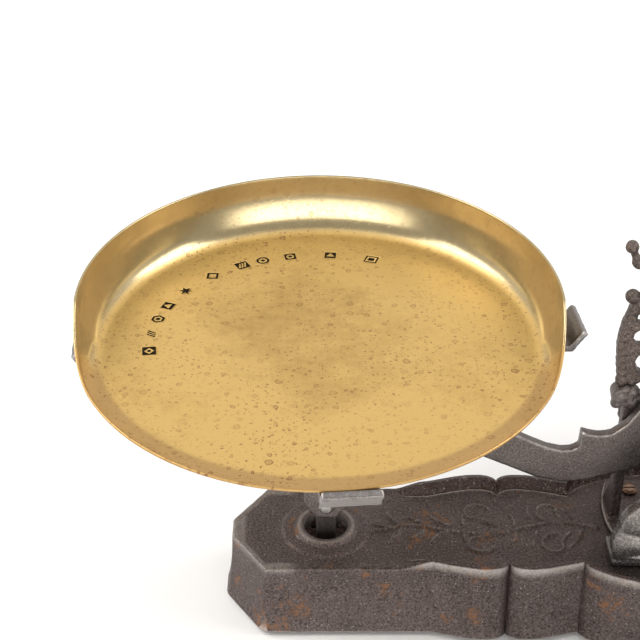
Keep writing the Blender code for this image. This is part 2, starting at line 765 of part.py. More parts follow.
def make_yoke(label, x, parent):
    half = BEARING_HALF_WIDTH + GAP
    window = [(x - half, YOKE_WINDOW_LOW), (x + half, YOKE_WINDOW_LOW),
              (x + half, YOKE_WINDOW_HIGH), (x - half, YOKE_WINDOW_HIGH)]
    rivet_holes = [ellipse((x, z), RIVET_RADIUS + GAP, RIVET_RADIUS + GAP, 16)
                   for z in (HUB_RIVET_Z, STEM_RIVET_Z)]
    back = YOKE_WINDOW_HIGH - GAP - KNIFE_Z
    for place, depth in (("front", -1), ("rear", 1)):
        low_y, high_y = sorted((depth * YOKE_INNER_Y, depth * (YOKE_INNER_Y + YOKE_THICKNESS)))
        side = plate(f"yoke_plate_{place}_{label}", [shield_outline(x, YOKE_TOP), window] + rivet_holes,
                     low_y, high_y)
        finished(bevelled(side, 0.4, 1), FORGED_STEEL, parent)
        block = plate(f"end_bearing_{place}_{label}",
                      [bearing_outline(x, -1, BEARING_HALF_WIDTH, -back)], low_y, high_y)
        finished(block, HARD_STEEL, parent)


def make_hub(label, x, parent):
    hub = box(f"cross_hub_{label}", (x - HUB_HALF_WIDTH, -YOKE_INNER_Y + GAP, HUB_BOTTOM),
              (x + HUB_HALF_WIDTH, YOKE_INNER_Y - GAP, YOKE_TOP))
    hub = cut(hub, cylinder("rivet_hole", RIVET_RADIUS + GAP, (x, -20, HUB_RIVET_Z), (x, 20, HUB_RIVET_Z)),
              cylinder("cross_hole", CROSS_HOLE_RADIUS, (x, 0, 159.0), (x, 0, 170)))
    finished(hub, FORGED_STEEL, parent)
    head_y = YOKE_INNER_Y + YOKE_THICKNESS + GAP
    for name, z in ((f"hub_rivet_{label}", HUB_RIVET_Z), (f"stem_rivet_{label}", STEM_RIVET_Z)):
        upper = [(0.0, head_y + 1.6), (2.6, head_y + 1.3), (RIVET_HEAD_RADIUS, head_y),
                 (RIVET_RADIUS, head_y)]
        rivet = turned(name, upper + [(r, -h) for r, h in reversed(upper)], (0, 0, 0), 16)
        rivet.rotation_euler = (math.pi / 2, 0.0, 0.0)
        rivet.location = (x * MM, 0.0, z * MM)
        finished(settled(rivet), SCREW_STEEL, parent, True)


def bar_end(tip_radius):
    """One end of a cross bar seen from its side: bent up and outwards, from its top face round."""
    half = BAR_THICKNESS / 2
    middle = BAR_TOP - half
    bend = tip_radius - BAR_TIP_RUN
    lean = math.atan2(BAR_TIP_RISE, BAR_TIP_RUN)
    across = Vector((-math.sin(lean), math.cos(lean))) * half
    miter = half * math.tan(lean / 2)
    tip = Vector((tip_radius, middle + BAR_TIP_RISE))
    return [(bend - miter, middle + half), tuple(tip + across), tuple(tip - across),
            (bend + miter, middle - half)]


def make_cross(label, side, parent):
    x = side * ARM
    turn = -side * CROSS_TURN
    half_lap = BAR_TOP - BAR_THICKNESS / 2
    outer = BAR_TIP_RADIUS - LONG_BAR_SHORT_BY
    inner_end = bar_end(BAR_TIP_RADIUS)
    long_ends = [inner_end, bar_end(outer)] if side < 0 else [bar_end(outer), inner_end]
    for kind, quarter, lap, ends in (
            ("long", 0, (half_lap - 10, half_lap + GAP / 2), long_ends),
            ("short", 90, (half_lap - GAP / 2, half_lap + 10), [inner_end, inner_end])):
        outline = ends[0] + [(-s, z) for s, z in reversed(ends[1])]
        bar = plate(f"cross_bar_{kind}_{label}", [outline], -BAR_WIDTH / 2, BAR_WIDTH / 2)
        reach = BAR_WIDTH / 2 + GAP
        bar = cut(bar, box("lap", (-reach, -reach, lap[0]), (reach, reach, lap[1])),
                  cylinder("rivet_hole", CROSS_HOLE_RADIUS, (0, 0, 150), (0, 0, 180)))
        if kind == "long":
            bar = cut(bar, cylinder("head_hole", 5.3, (0, 0, BAR_TOP - 1.2), (0, 0, 180)))
        bar.data.transform(Matrix.Rotation(math.radians(quarter), 4, "Z"))
        bar.data.transform(Matrix.Translation((x * MM, 0.0, 0.0)))
        turned_about(bar, turn, x)
        finished(bevelled(bar, 0.4, 1), FORGED_STEEL, parent)
    profile = [(0.0, 0.0), (5.0, 0.0), (5.0, -0.9), (3.0, -0.9), (3.0, -7.0), (0.0, -7.0)]
    rivet = turned(f"cross_rivet_{label}", profile, (x, 0, BAR_TOP), 20)
    finished(rivet, SCREW_STEEL, parent, True)


def make_stem(label, x, parent):
    depth = YOKE_INNER_Y - GAP
    stem = plate(f"stem_{label}", [shield_outline(x, STEM_HEAD_TOP)], -depth, depth)
    shaft = box("shaft", (x - STEM_HALF_WIDTH, -STEM_HALF_DEPTH, STEM_BOTTOM),
                (x + STEM_HALF_WIDTH, STEM_HALF_DEPTH, STEM_SHOULDER + 4))
    stem = fuse(stem, shaft)
    stem = cut(stem,
               cylinder("rivet_hole", RIVET_RADIUS + GAP, (x, -20, STEM_RIVET_Z), (x, 20, STEM_RIVET_Z)),
               cylinder("pin_hole", STAY_PIN_RADIUS + 0.8, (x, -20, STAY_Z), (x, 20, STAY_Z)))
    finished(stem, FORGED_STEEL, parent)


def make_carrier(label, side, parent):
    x = side * ARM
    make_yoke(label, x, parent)
    make_hub(label, x, parent)
    make_cross(label, side, parent)
    make_stem(label, x, parent)


# ---------------------------------------------------------------- stay

def make_stay(parent, base_parent):
    ends = arc((ARM, STAY_Z), STAY_HALF_HEIGHT, -90, 90, 7)
    outline = ends + [(-x, z) for x, z in reversed(ends)]
    holes = [ellipse((0.0, STAY_Z), STAY_PIVOT_RADIUS + 0.5, STAY_PIVOT_RADIUS + 0.5, 18)]
    for _, side in SIDES:
        holes.append(ellipse((side * ARM, STAY_Z), STAY_PIN_RADIUS + GAP, STAY_PIN_RADIUS + GAP, 16))
    for place, depth in (("front", -1), ("rear", 1)):
        low_y, high_y = sorted((depth * STAY_INNER_Y, depth * (STAY_INNER_Y + STAY_THICKNESS)))
        finished(plate(f"stay_bar_{place}", [outline] + holes, low_y, high_y), FORGED_STEEL, parent)
    reach = STAY_INNER_Y + STAY_THICKNESS + STAY_PIN_OVERHANG
    for label, side in SIDES:
        pin = cylinder(f"stay_pin_{label}", STAY_PIN_RADIUS, (side * ARM, -reach, STAY_Z),
                       (side * ARM, reach, STAY_Z), 16)
        finished(pin, SCREW_STEEL, parent, True)
    pivot = cylinder("stay_pivot", STAY_PIVOT_RADIUS, (0, -reach, STAY_Z), (0, reach, STAY_Z), 18)
    finished(pivot, SCREW_STEEL, base_parent, True)


# ---------------------------------------------------------------- pans

def rim_height(angle):
    """The rim's height above the pan floor, by angle in degrees from the middle of the lip."""
    away = abs((angle + 180.0) % 360.0 - 180.0)
    lip = PAN_LIP_HEIGHT + PAN_LIP_RISE * (min(away, PAN_WALL_ANGLE) / PAN_WALL_ANGLE) ** 2
    drop = (PAN_WALL_ANGLE - away) / (PAN_WALL_ANGLE - PAN_LIP_ANGLE)
    drop = min(1.0, max(0.0, drop))
    wall = PAN_SIDE_HEIGHT + PAN_BACK_RISE * max(0.0, -math.cos(math.radians(away)))
    return lip + (wall - lip) * (1.0 - drop) ** 2


def wall_point(angle, part):
    """Radius and height on the pan's wall, from part 0 at the floor's edge to 1 at the rim."""
    height = rim_height(math.degrees(angle) + 90.0)
    rim = PAN_RADIUS + PAN_LIP_FLARE * max(0.0, 1.0 - height / PAN_SIDE_HEIGHT)
    bend = 2 * part * (1 - part)
    run = bend * PAN_BEND_RUN + part ** 2
    rise = bend * PAN_BEND_RISE + part ** 2
    return PAN_FLOOR_RADIUS + (rim - PAN_FLOOR_RADIUS) * run, height * rise


def make_pan(label, side, parent):
    """A pressed pan: a flat floor, a wall that steepens as it rises, and a rim that dips to a front lip."""
    around = 72
    bm = bmesh.new()
    centre = bm.verts.new((0.0, 0.0, 0.0))
    rings = []
    for part in (0.45, 1.0):
        radius = PAN_FLOOR_RADIUS * part * MM
        rings.append([bm.verts.new((radius * math.cos(math.tau * step / around),
                                    radius * math.sin(math.tau * step / around), 0.0))
                      for step in range(around)])
    for part in (0.25, 0.5, 0.75, 1.0):
        ring = []
        for step in range(around):
            angle = math.tau * step / around
            radius, rise = wall_point(angle, part)
            ring.append(bm.verts.new((radius * math.cos(angle) * MM, radius * math.sin(angle) * MM,
                                      rise * MM)))
        rings.append(ring)
    for step in range(around):
        bm.faces.new((centre, rings[0][step], rings[0][(step + 1) % around]))
    for inner, outer in zip(rings, rings[1:]):
        bridge_rings(bm, inner, outer)
    pan = link_mesh(f"pan_{label}", bm)
    up = pan.data.polygons[0].normal.z
    pan.location = (side * (ARM + PAN_SHIFT) * MM, 0.0, PAN_FLOOR_Z * MM)
    thick = pan.modifiers.new("sheet", "SOLIDIFY")
    thick.thickness = PAN_THICKNESS * MM
    thick.offset = -1.0 if up > 0 else 1.0
    thick.use_even_offset = True
    finished(settled(pan), BRASS, parent, True)


# ---------------------------------------------------------------- assembly

def build():
    frame_axis = axis_empty("frame", (0, 0, 0))
    beam_axis = axis_empty("beam_axis", (0, 0, KNIFE_Z))
    stay_axis = axis_empty("stay_axis", (0, 0, STAY_Z))
    make_base(frame_axis)
    make_pillar(frame_axis)
    make_crest(frame_axis)
    make_cheek(frame_axis)
    make_frame_screws(frame_axis)
    make_centre_bearings(frame_axis)
    make_beam(beam_axis)
    make_knives(beam_axis)
    make_pointer(beam_axis)
    make_stay(stay_axis, frame_axis)
    for label, side in SIDES:
        carrier_axis = axis_empty(f"carrier_axis_{label}", (side * ARM, 0, KNIFE_Z))
        make_carrier(label, side, carrier_axis)
        pan_axis = axis_empty(f"pan_axis_{label}", (side * ARM, 0, PAN_FLOOR_Z))
        make_pan(label, side, pan_axis)


build()
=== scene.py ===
"""The looks of the brass counter scale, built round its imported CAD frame.

Lengths in the constants are millimetres, and meshes are made in metres. The pans, the base, the
pillar, the crest, the cheek and the forged parts are built again here in finer shape. Small turned
and ground parts keep their CAD mesh and get a procedural metal.
"""
import json
import math

import bmesh
import bpy
import numpy as np
from mathutils import Matrix, Vector, noise


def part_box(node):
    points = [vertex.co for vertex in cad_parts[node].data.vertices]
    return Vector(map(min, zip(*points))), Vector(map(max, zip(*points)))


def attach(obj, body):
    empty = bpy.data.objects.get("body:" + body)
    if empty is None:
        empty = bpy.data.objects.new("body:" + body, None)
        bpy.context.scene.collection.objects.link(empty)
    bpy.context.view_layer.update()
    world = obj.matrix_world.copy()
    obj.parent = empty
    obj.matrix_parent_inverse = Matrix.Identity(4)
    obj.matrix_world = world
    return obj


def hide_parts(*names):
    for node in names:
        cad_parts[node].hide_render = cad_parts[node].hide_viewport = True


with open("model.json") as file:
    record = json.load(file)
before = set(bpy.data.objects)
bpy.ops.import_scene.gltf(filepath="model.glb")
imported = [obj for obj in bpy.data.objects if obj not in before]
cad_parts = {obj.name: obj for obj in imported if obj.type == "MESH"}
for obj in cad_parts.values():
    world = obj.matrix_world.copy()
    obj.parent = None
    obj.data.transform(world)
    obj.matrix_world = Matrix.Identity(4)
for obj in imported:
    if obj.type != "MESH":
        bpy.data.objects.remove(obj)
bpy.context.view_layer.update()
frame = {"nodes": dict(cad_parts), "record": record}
MM = 0.001
SIDES = (("left", -1), ("right", 1))

ARM = 188.0
BASE_TOP = 44.0
TAU = math.tau


def linked(name, data):
    made = bpy.data.objects.new(name, data)
    bpy.context.scene.collection.objects.link(made)
    return made


# ---------------------------------------------------------------- shader nodes

class Nodes:
    """Shader nodes under construction in one tree. Values are sockets or plain numbers."""

    def __init__(self, tree):
        self.tree = tree

    def add(self, kind, **settings):
        node = self.tree.nodes.new(kind)
        for name, value in settings.items():
            setattr(node, name, value)
        return node

    def plug(self, value, socket):
        if isinstance(value, bpy.types.NodeSocket):
            self.tree.links.new(value, socket)
        else:
            socket.default_value = value

    def calc(self, operation, a, b=0.0, clamp=False):
        node = self.add("ShaderNodeMath", operation=operation, use_clamp=clamp)
        self.plug(a, node.inputs[0])
        self.plug(b, node.inputs[1])
        return node.outputs[0]

    def times(self, *values):
        """The product of the values, multiplied from left to right."""
        result = values[0]
        for value in values[1:]:
            result = self.calc("MULTIPLY", result, value)
        return result

    def plus(self, a, b, clamp=False):
        return self.calc("ADD", a, b, clamp)

    def less(self, a, b, clamp=False):
        return self.calc("SUBTRACT", a, b, clamp)

    def step(self, value, low, high, out_low=0.0, out_high=1.0):
        """A smooth step from out_low at low to out_high at high."""
        node = self.add("ShaderNodeMapRange", interpolation_type="SMOOTHSTEP")
        self.plug(value, node.inputs["Value"])
        for name, limit in (("From Min", low), ("From Max", high), ("To Min", out_low),
                            ("To Max", out_high)):
            self.plug(limit, node.inputs[name])
        return node.outputs[0]


# ---------------------------------------------------------------- camera, light and floor

CAMERA_PLACE = (-0.1913, -0.59015, 0.55522)
CAMERA_TILT = 57.55
CAMERA_LENS = 78.75
LIGHT_TARGET = (-0.1, 0.0, 0.1)
# Each soft box: its name, place, target, width and height in metres, and radiance.
SOFT_BOXES = (("front", (-0.1, -0.62, 1.75), LIGHT_TARGET, (2.2, 0.9), 0.9),
              ("side_left", (-1.5, 0.0, 1.3), LIGHT_TARGET, (1.3, 1.1), 5.0),
              ("side_right", (1.5, 0.0, 1.3), (0.0, 0.0, 0.1), (1.3, 1.1), 5.0))


def make_camera():
    data = bpy.data.cameras.new("camera")
    data.sensor_width = 36.0
    data.lens = CAMERA_LENS
    camera = linked("camera", data)
    camera.location = CAMERA_PLACE
    camera.rotation_euler = (math.radians(CAMERA_TILT), 0.0, 0.0)
    bpy.context.scene.camera = camera


def area_light(name, place, target, size, radiance):
    """A soft box of the given width and height that shines from place towards target."""
    data = bpy.data.lights.new(name, "AREA")
    data.shape = "RECTANGLE"
    data.size, data.size_y = size
    data.energy = math.pi * size[0] * size[1] * radiance
    light = linked(name, data)
    light.location = place
    light.rotation_euler = (Vector(target) - Vector(place)).to_track_quat("-Z", "Y").to_euler()


def make_surround():
    """A pale surround: darker in front and overhead, with a bright strip low in front, which the
    back walls of the pans mirror. The camera sees plain white instead.
    """
    world = bpy.data.worlds.new("studio")
    bpy.context.scene.world = world
    world.use_nodes = True
    world.node_tree.nodes.clear()
    sky = Nodes(world.node_tree)
    split = sky.add("ShaderNodeSeparateXYZ")
    sky.plug(sky.add("ShaderNodeTexCoord").outputs["Generated"], split.inputs[0])
    y, z = split.outputs["Y"], split.outputs["Z"]
    strip = sky.times(sky.step(z, 0.24, 0.36, 1.0, 0.0), sky.step(y, -0.88, -0.60, 5.0, 0.0),
                      sky.step(z, 0.04, 0.12))
    level = sky.times(sky.step(y, -0.35, 0.45, 0.50, 1.0), sky.step(z, 0.62, 0.86, 1.0, 0.72))
    surround = sky.add("ShaderNodeBackground")
    sky.plug((1.0, 0.99, 0.97, 1.0), surround.inputs["Color"])
    sky.plug(sky.plus(level, strip), surround.inputs["Strength"])
    seen = sky.add("ShaderNodeBackground")
    sky.plug((1.0, 1.0, 1.0, 1.0), seen.inputs["Color"])
    mix = sky.add("ShaderNodeMixShader")
    sky.plug(sky.add("ShaderNodeLightPath").outputs["Is Camera Ray"], mix.inputs[0])
    sky.plug(surround.outputs[0], mix.inputs[1])
    sky.plug(seen.outputs[0], mix.inputs[2])
    sky.plug(mix.outputs[0], sky.add("ShaderNodeOutputWorld").inputs["Surface"])


def make_floor():
    bpy.ops.mesh.primitive_plane_add(size=14.0, location=(0.0, 0.0, -0.0002))
    floor = bpy.context.object
    floor.name = "floor"
    look = bpy.data.materials.new("floor_paper")
    look.use_nodes = True
    shader = look.node_tree.nodes["Principled BSDF"]
    shader.inputs["Base Color"].default_value = (0.9, 0.9, 0.9, 1.0)
    shader.inputs["Roughness"].default_value = 0.9
    floor.data.materials.append(look)


make_camera()
make_surround()
make_floor()
for soft_box in SOFT_BOXES:
    area_light(*soft_box)
bpy.context.scene.view_settings.view_transform = "Standard"


# ---------------------------------------------------------------- procedural materials

class Look(Nodes):
    """A material under construction."""

    def __init__(self, name, metallic, roughness):
        self.material = bpy.data.materials.new(name)
        self.material.use_nodes = True
        super().__init__(self.material.node_tree)
        self.shader = self.tree.nodes["Principled BSDF"]
        self.shader.inputs["Metallic"].default_value = metallic
        self.shader.inputs["Roughness"].default_value = roughness
        self.coords = self.add("ShaderNodeTexCoord").outputs["Object"]

    def moved(self, scale, turn=(0.0, 0.0, 0.0)):
        node = self.add("ShaderNodeMapping")
        self.plug(self.coords, node.inputs["Vector"])
        node.inputs["Scale"].default_value = scale
        node.inputs["Rotation"].default_value = turn
        return node.outputs[0]

    def noise(self, scale, detail=3.0, rough=0.55, coords=None):
        node = self.add("ShaderNodeTexNoise")
        self.plug(coords or self.coords, node.inputs["Vector"])
        node.inputs["Scale"].default_value = scale
        node.inputs["Detail"].default_value = detail
        node.inputs["Roughness"].default_value = rough
        return node.outputs["Fac"]

    def cells(self, scale, coords=None, dimensions="3D"):
        """Distance to the nearest random point, and that point's own three random numbers."""
        node = self.add("ShaderNodeTexVoronoi", voronoi_dimensions=dimensions)
        self.plug(coords or self.coords, node.inputs["Vector"])
        node.inputs["Scale"].default_value = scale
        split = self.add("ShaderNodeSeparateColor")
        self.plug(node.outputs["Color"], split.inputs[0])
        return node.outputs["Distance"], split.outputs[0], split.outputs[1], split.outputs[2]

    def mix(self, share, a, b):
        node = self.add("ShaderNodeMix", data_type="RGBA")
        self.plug(share, node.inputs[0])
        for value, socket in ((a, node.inputs[6]), (b, node.inputs[7])):
            if isinstance(value, tuple) and len(value) == 3:
                value = (*value, 1.0)
            self.plug(value, socket)
        return node.outputs[2]

    def attribute(self, name):
        return self.add("ShaderNodeAttribute", attribute_name=name).outputs["Fac"]

    def finish(self, colour, roughness, height, relief, metallic=None):
        """Plugs the colour, roughness and bump in: relief is the bump's depth in metres."""
        self.plug(colour, self.shader.inputs["Base Color"])
        self.plug(roughness, self.shader.inputs["Roughness"])
        if metallic is not None:
            self.plug(metallic, self.shader.inputs["Metallic"])
        bump = self.add("ShaderNodeBump")
        bump.inputs["Distance"].default_value = relief
        bump.inputs["Strength"].default_value = 1.0
        self.plug(height, bump.inputs["Height"])
        self.plug(bump.outputs[0], self.shader.inputs["Normal"])
        return self.material


BRASS_PALE = (0.59, 0.385, 0.120)
BRASS_DEEP = (0.40, 0.243, 0.067)
BRASS_BROWN = (0.20, 0.082, 0.030)


def ring_spots(look, scale, share, ring_width, coords):
    """Small stains, each a brown ring with a paler middle, on part of the random points."""
    away, pick, size, dark = look.cells(scale, coords, "2D")
    chosen = look.step(pick, 1.0 - share, 1.0 - share + 0.02)
    radius = look.plus(look.times(size, size, 0.12), 0.07)
    off = look.less(away, radius)
    ring = look.step(look.calc("ABSOLUTE", off), ring_width, ring_width * 0.2)
    inside = look.step(off, 0.0, -0.03, 0.0, 0.42)
    strength = look.step(dark, 0.0, 1.0, 0.35, 1.0)
    return look.times(look.calc("MAXIMUM", ring, inside), chosen, strength)


def dotted(look, scale, size, share, strength=None, coords=None):
    """Soft dots on part of the random points: size gives where a dot ends and where it is full,
    share the limits of the points' own number, and strength how strong the dots are.
    """
    away, pick, _, dark = look.cells(scale, coords, "2D" if coords else "3D")
    dots = look.times(look.step(away, *size), look.step(pick, *share))
    return look.times(dots, look.step(dark, 0.0, 1.0, *strength)) if strength else dots


def brass_look():
    """Old brass with brown ring stains, dark specks, clouds of tarnish and fine scratches.

    The stains lie on the pan's flat blank, so they keep their shape on its wall. The wall and the
    lip are more polished than the floor. The floor is painted paler towards its rim: a painted
    reflection of the light that the wall throws onto it.
    """
    look = Look("old_brass", 0.84, 0.3)
    blank = look.add("ShaderNodeAttribute", attribute_name="blank").outputs["Vector"]
    warp = look.add("ShaderNodeTexNoise")
    look.plug(blank, warp.inputs["Vector"])
    warp.inputs["Scale"].default_value = 420.0
    push = look.add("ShaderNodeVectorMath", operation="MULTIPLY_ADD")
    look.plug(warp.outputs["Color"], push.inputs[0])
    push.inputs[1].default_value = (0.0022, 0.0022, 0.0)
    look.plug(blank, push.inputs[2])
    coords = push.outputs[0]
    crowd = look.step(look.noise(11.0, 2.0, coords=blank), 0.35, 0.62, 0.45, 1.0)
    rings = look.calc("MAXIMUM", ring_spots(look, 112.0, 0.50, 0.055, coords),
                      ring_spots(look, 215.0, 0.30, 0.07, coords))
    specks = dotted(look, 330.0, (0.24, 0.12), (0.70, 0.72), (0.3, 1.0), coords)
    dots = dotted(look, 760.0, (0.36, 0.17), (0.66, 0.70), (0.05, 0.6), coords)
    spots = look.calc("MAXIMUM", rings, look.calc("MAXIMUM", specks, dots))
    wall = look.attribute("wall")
    spots = look.times(spots, crowd, look.step(wall, 0.0, 1.0, 1.0, 0.45))
    cloud = look.noise(17.0, 6.0, 0.62)
    mottle = look.noise(120.0, 4.0, 0.7)
    grain = look.noise(1400.0, 3.0, 0.7)
    scratch = look.noise(1.0, 2.0, 0.5, look.moved((90.0, 1500.0, 300.0), (0.0, 0.0, 0.9)))
    other = look.noise(1.0, 2.0, 0.5, look.moved((80.0, 1300.0, 300.0), (0.0, 0.0, -0.5)))
    scratch = look.calc("MAXIMUM", look.step(scratch, 0.62, 0.72), look.step(other, 0.64, 0.74))
    tone = look.plus(look.step(cloud, 0.36, 0.66, 0.0, 0.62), look.step(mottle, 0.3, 0.75, 0.0, 0.38))
    tone = look.plus(tone, look.step(grain, 0.3, 0.75, -0.14, 0.16), True)
    # Painted reflection: the floor is made paler towards its rim, for the light that the wall throws
    # onto it.
    tone = look.less(tone, look.step(look.attribute("edge"), 0.0, 1.0, 0.0, 0.50))
    colour = look.mix(tone, BRASS_PALE, BRASS_DEEP)
    colour = look.mix(look.times(wall, 0.85), colour,
                      look.mix(tone, (0.45, 0.38, 0.23), (0.315, 0.25, 0.15)))
    lip = look.attribute("lip")
    colour = look.mix(lip, colour, look.mix(tone, (0.50, 0.31, 0.115), (0.36, 0.215, 0.07)))
    colour = look.mix(look.times(spots, 0.85), colour, BRASS_BROWN)
    rough = look.mix(wall, look.step(cloud, 0.3, 0.7, 0.38, 0.48),
                     look.step(cloud, 0.3, 0.7, 0.13, 0.20))
    rough = look.plus(rough, look.times(spots, 0.2))
    rough = look.plus(rough, look.times(scratch, 0.06))
    polished = look.plus(wall, lip, True)
    metallic = look.step(polished, 0.0, 1.0, 0.48, 0.84)
    height = look.plus(look.times(grain, 0.2), look.times(mottle, 0.5))
    height = look.less(height, look.times(spots, 0.35))
    height = look.less(height, look.times(scratch, 0.12))
    return look.finish(colour, rough, height, 0.00005, metallic)


def mark_look():
    look = Look("punched_mark", 1.0, 0.6)
    grain = look.noise(1500.0, 4.0)
    colour = look.mix(look.step(grain, 0.4, 0.7), (0.020, 0.015, 0.009), (0.07, 0.05, 0.025))
    return look.finish(colour, look.step(grain, 0.2, 0.8, 0.5, 0.75), grain, 0.00005)


def iron_look(name, dark, pale, gloss, rusty):
    """Old cast iron: grainy, rusty in patches, with paint traces, and paler where it is rubbed.
    Painted glints lie on the paint, painted shade is stored with the paint in the stem holes, and
    painted highlights are stored with the wear.
    """
    look = Look(name, 0.75, 0.5)
    broad = look.noise(30.0, 4.0, 0.6)
    sand = look.noise(820.0, 5.0, 0.8)
    lumps = look.noise(230.0, 3.0, 0.6)
    pit = dotted(look, 650.0, (0.35, 0.1), (0.6, 0.7))
    middle = tuple((a + b) / 2 for a, b in zip(dark, pale))
    colour = look.mix(look.step(broad, 0.35, 0.65), tuple(value * 0.70 for value in middle), middle)
    colour = look.mix(look.step(sand, 0.50, 0.64, 0.0, 1.0), colour, pale)
    colour = look.mix(look.step(sand, 0.49, 0.37, 0.0, 1.0), colour, dark)
    fleck = dotted(look, 520.0, (0.26, 0.12), (0.86, 0.9))
    colour = look.mix(look.times(fleck, 0.7), colour, (0.42, 0.37, 0.33))
    rust = look.times(look.step(look.noise(42.0, 4.0, 0.7), 0.60 - rusty, 0.70 - rusty),
                      look.step(lumps, 0.40, 0.58))
    colour = look.mix(look.times(rust, 0.8), colour, (0.21, 0.085, 0.026))
    wear_and_highlight = look.attribute("wear_and_highlight")
    # Paler where rubbed, and where a painted highlight is stored with the wear.
    rubbed_and_highlight = look.times(look.step(wear_and_highlight, 0.2, 0.85), look.step(sand, 0.3, 0.6, 0.5, 1.0))
    colour = look.mix(look.times(rubbed_and_highlight, 0.75), colour, (0.44, 0.40, 0.37))
    # Real paint on the border and beside the holes, and painted shade inside the stem holes' bores.
    paint_and_shade = look.attribute("paint_and_shade")
    paint_and_shade_cover = look.times(paint_and_shade, look.step(lumps, 0.32, 0.46))
    colour = look.mix(look.times(paint_and_shade_cover, 0.95), colour, (0.034, 0.012, 0.008))
    # Painted glints: pale flecks on the paint stand in for the sparkle of its gloss, and are left
    # more metallic.
    painted_glint = look.times(paint_and_shade_cover, look.step(sand, 0.57, 0.64))
    colour = look.mix(look.times(painted_glint, 0.8), colour, (0.50, 0.42, 0.38))
    rough = look.step(sand, 0.2, 0.8, gloss, gloss + 0.24)
    rough = look.less(rough, look.times(paint_and_shade_cover, 0.34))
    rough = look.less(rough, look.times(rubbed_and_highlight, 0.12))
    rough = look.plus(rough, look.times(rust, 0.25), True)
    height = look.plus(look.times(sand, 0.6), look.times(lumps, 0.9))
    height = look.less(height, look.times(pit, 0.5))
    height = look.times(height, look.step(paint_and_shade_cover, 0.0, 1.0, 1.0, 2.2))
    dull = look.less(look.calc("MAXIMUM", rust, paint_and_shade_cover), painted_glint, True)
    shine = look.step(dull, 0.0, 1.0, 0.75, 0.15)
    return look.finish(colour, rough, height, 0.0004, shine)


def forged_look():
    """Forged steel: dark blue-grey with a fine grain, bright where its edges are worn and where a
    painted highlight is stored with the wear.
    """
    look = Look("forged_steel", 1.0, 0.42)
    broad = look.noise(38.0, 4.0, 0.6)
    sand = look.noise(1100.0, 4.0, 0.75)
    lumps = look.noise(320.0, 3.0, 0.6)
    pit = dotted(look, 800.0, (0.32, 0.08), (0.66, 0.72))
    colour = look.mix(look.step(broad, 0.3, 0.7), (0.125, 0.105, 0.098), (0.17, 0.145, 0.135))
    colour = look.mix(look.step(sand, 0.50, 0.68, 0.0, 0.75), colour, (0.33, 0.295, 0.28))
    colour = look.mix(look.step(sand, 0.48, 0.34, 0.0, 0.7), colour, (0.052, 0.042, 0.038))
    stain = look.step(look.noise(70.0, 4.0, 0.7), 0.60, 0.74)
    colour = look.mix(look.times(stain, 0.5), colour, (0.16, 0.085, 0.045))
    wear_and_highlight = look.attribute("wear_and_highlight")
    # Bright where worn, and on the tabs, where the brightness is a painted highlight.
    worn_and_highlight = look.times(look.step(wear_and_highlight, 0.15, 0.7), look.step(lumps, 0.25, 0.55, 0.5, 1.0))
    colour = look.mix(look.times(worn_and_highlight, 0.9), colour, (0.78, 0.75, 0.72))
    rough = look.step(sand, 0.2, 0.8, 0.34, 0.52)
    rough = look.less(rough, look.times(worn_and_highlight, 0.12))
    height = look.plus(look.times(sand, 0.5), look.times(lumps, 0.6))
    height = look.less(height, look.times(pit, 0.5))
    return look.finish(colour, rough, height, 0.00012)


def plain_steel_look(name, dark, pale, rough_low, rough_high, stretch):
    """Turned or ground steel: fine tool marks along one direction, and a little dirt."""
    look = Look(name, 1.0, rough_low)
    lines = look.noise(1.0, 3.0, 0.6, look.moved(stretch))
    dirt = look.noise(160.0, 4.0, 0.65)
    colour = look.mix(look.step(lines, 0.3, 0.7), dark, pale)
    colour = look.mix(look.step(dirt, 0.55, 0.75, 0.0, 0.7), colour, (0.07, 0.05, 0.04))
    rough = look.plus(look.step(lines, 0.2, 0.8, rough_low, rough_high),
                      look.step(dirt, 0.5, 0.8, 0.0, 0.2))
    return look.finish(colour, rough, lines, 0.00004)


BRASS = brass_look()
MARK = mark_look()
IRON = iron_look("cast_iron", (0.026, 0.018, 0.016), (0.20, 0.158, 0.148), 0.40, 0.035)
BARE_IRON = iron_look("bare_iron", (0.045, 0.033, 0.028), (0.21, 0.165, 0.142), 0.36, 0.02)
RUBBED_IRON = iron_look("rubbed_iron", (0.09, 0.078, 0.072), (0.30, 0.275, 0.26), 0.16, -0.06)
FORGED = forged_look()
GROUND = plain_steel_look("ground_steel", (0.36, 0.35, 0.34), (0.62, 0.61, 0.60), 0.22, 0.34,
                          (2600.0, 90.0, 2600.0))
RUSTY = plain_steel_look("rusty_screw", (0.17, 0.085, 0.045), (0.34, 0.24, 0.18), 0.42, 0.6,
                         (700.0, 700.0, 2200.0))
TURNED = plain_steel_look("turned_steel", (0.26, 0.24, 0.23), (0.46, 0.44, 0.42), 0.30, 0.42,
                          (700.0, 700.0, 2200.0))


# ---------------------------------------------------------------- mesh helpers

def mesh_object(name, verts, faces):
    """A smooth object from vertices in metres."""
    mesh = bpy.data.meshes.new(name)
    mesh.from_pydata(np.asarray(verts, float).tolist(), [], faces)
    mesh.shade_smooth()
    return linked(name, mesh)


def face_outwards(mesh, merge=None, dissolve=False):
    """Turns the faces outwards, once points closer than merge metres have become one."""
    bm = bmesh.new()
    bm.from_mesh(mesh)
    if merge:
        bmesh.ops.remove_doubles(bm, verts=bm.verts, dist=merge)
    if dissolve:
        bmesh.ops.dissolve_degenerate(bm, edges=bm.edges, dist=merge)
    bmesh.ops.recalc_face_normals(bm, faces=bm.faces)
    bm.to_mesh(mesh)
    bm.free()


def smooth(value):
    value = np.clip(value, 0.0, 1.0)
    return value * value * (3.0 - 2.0 * value)


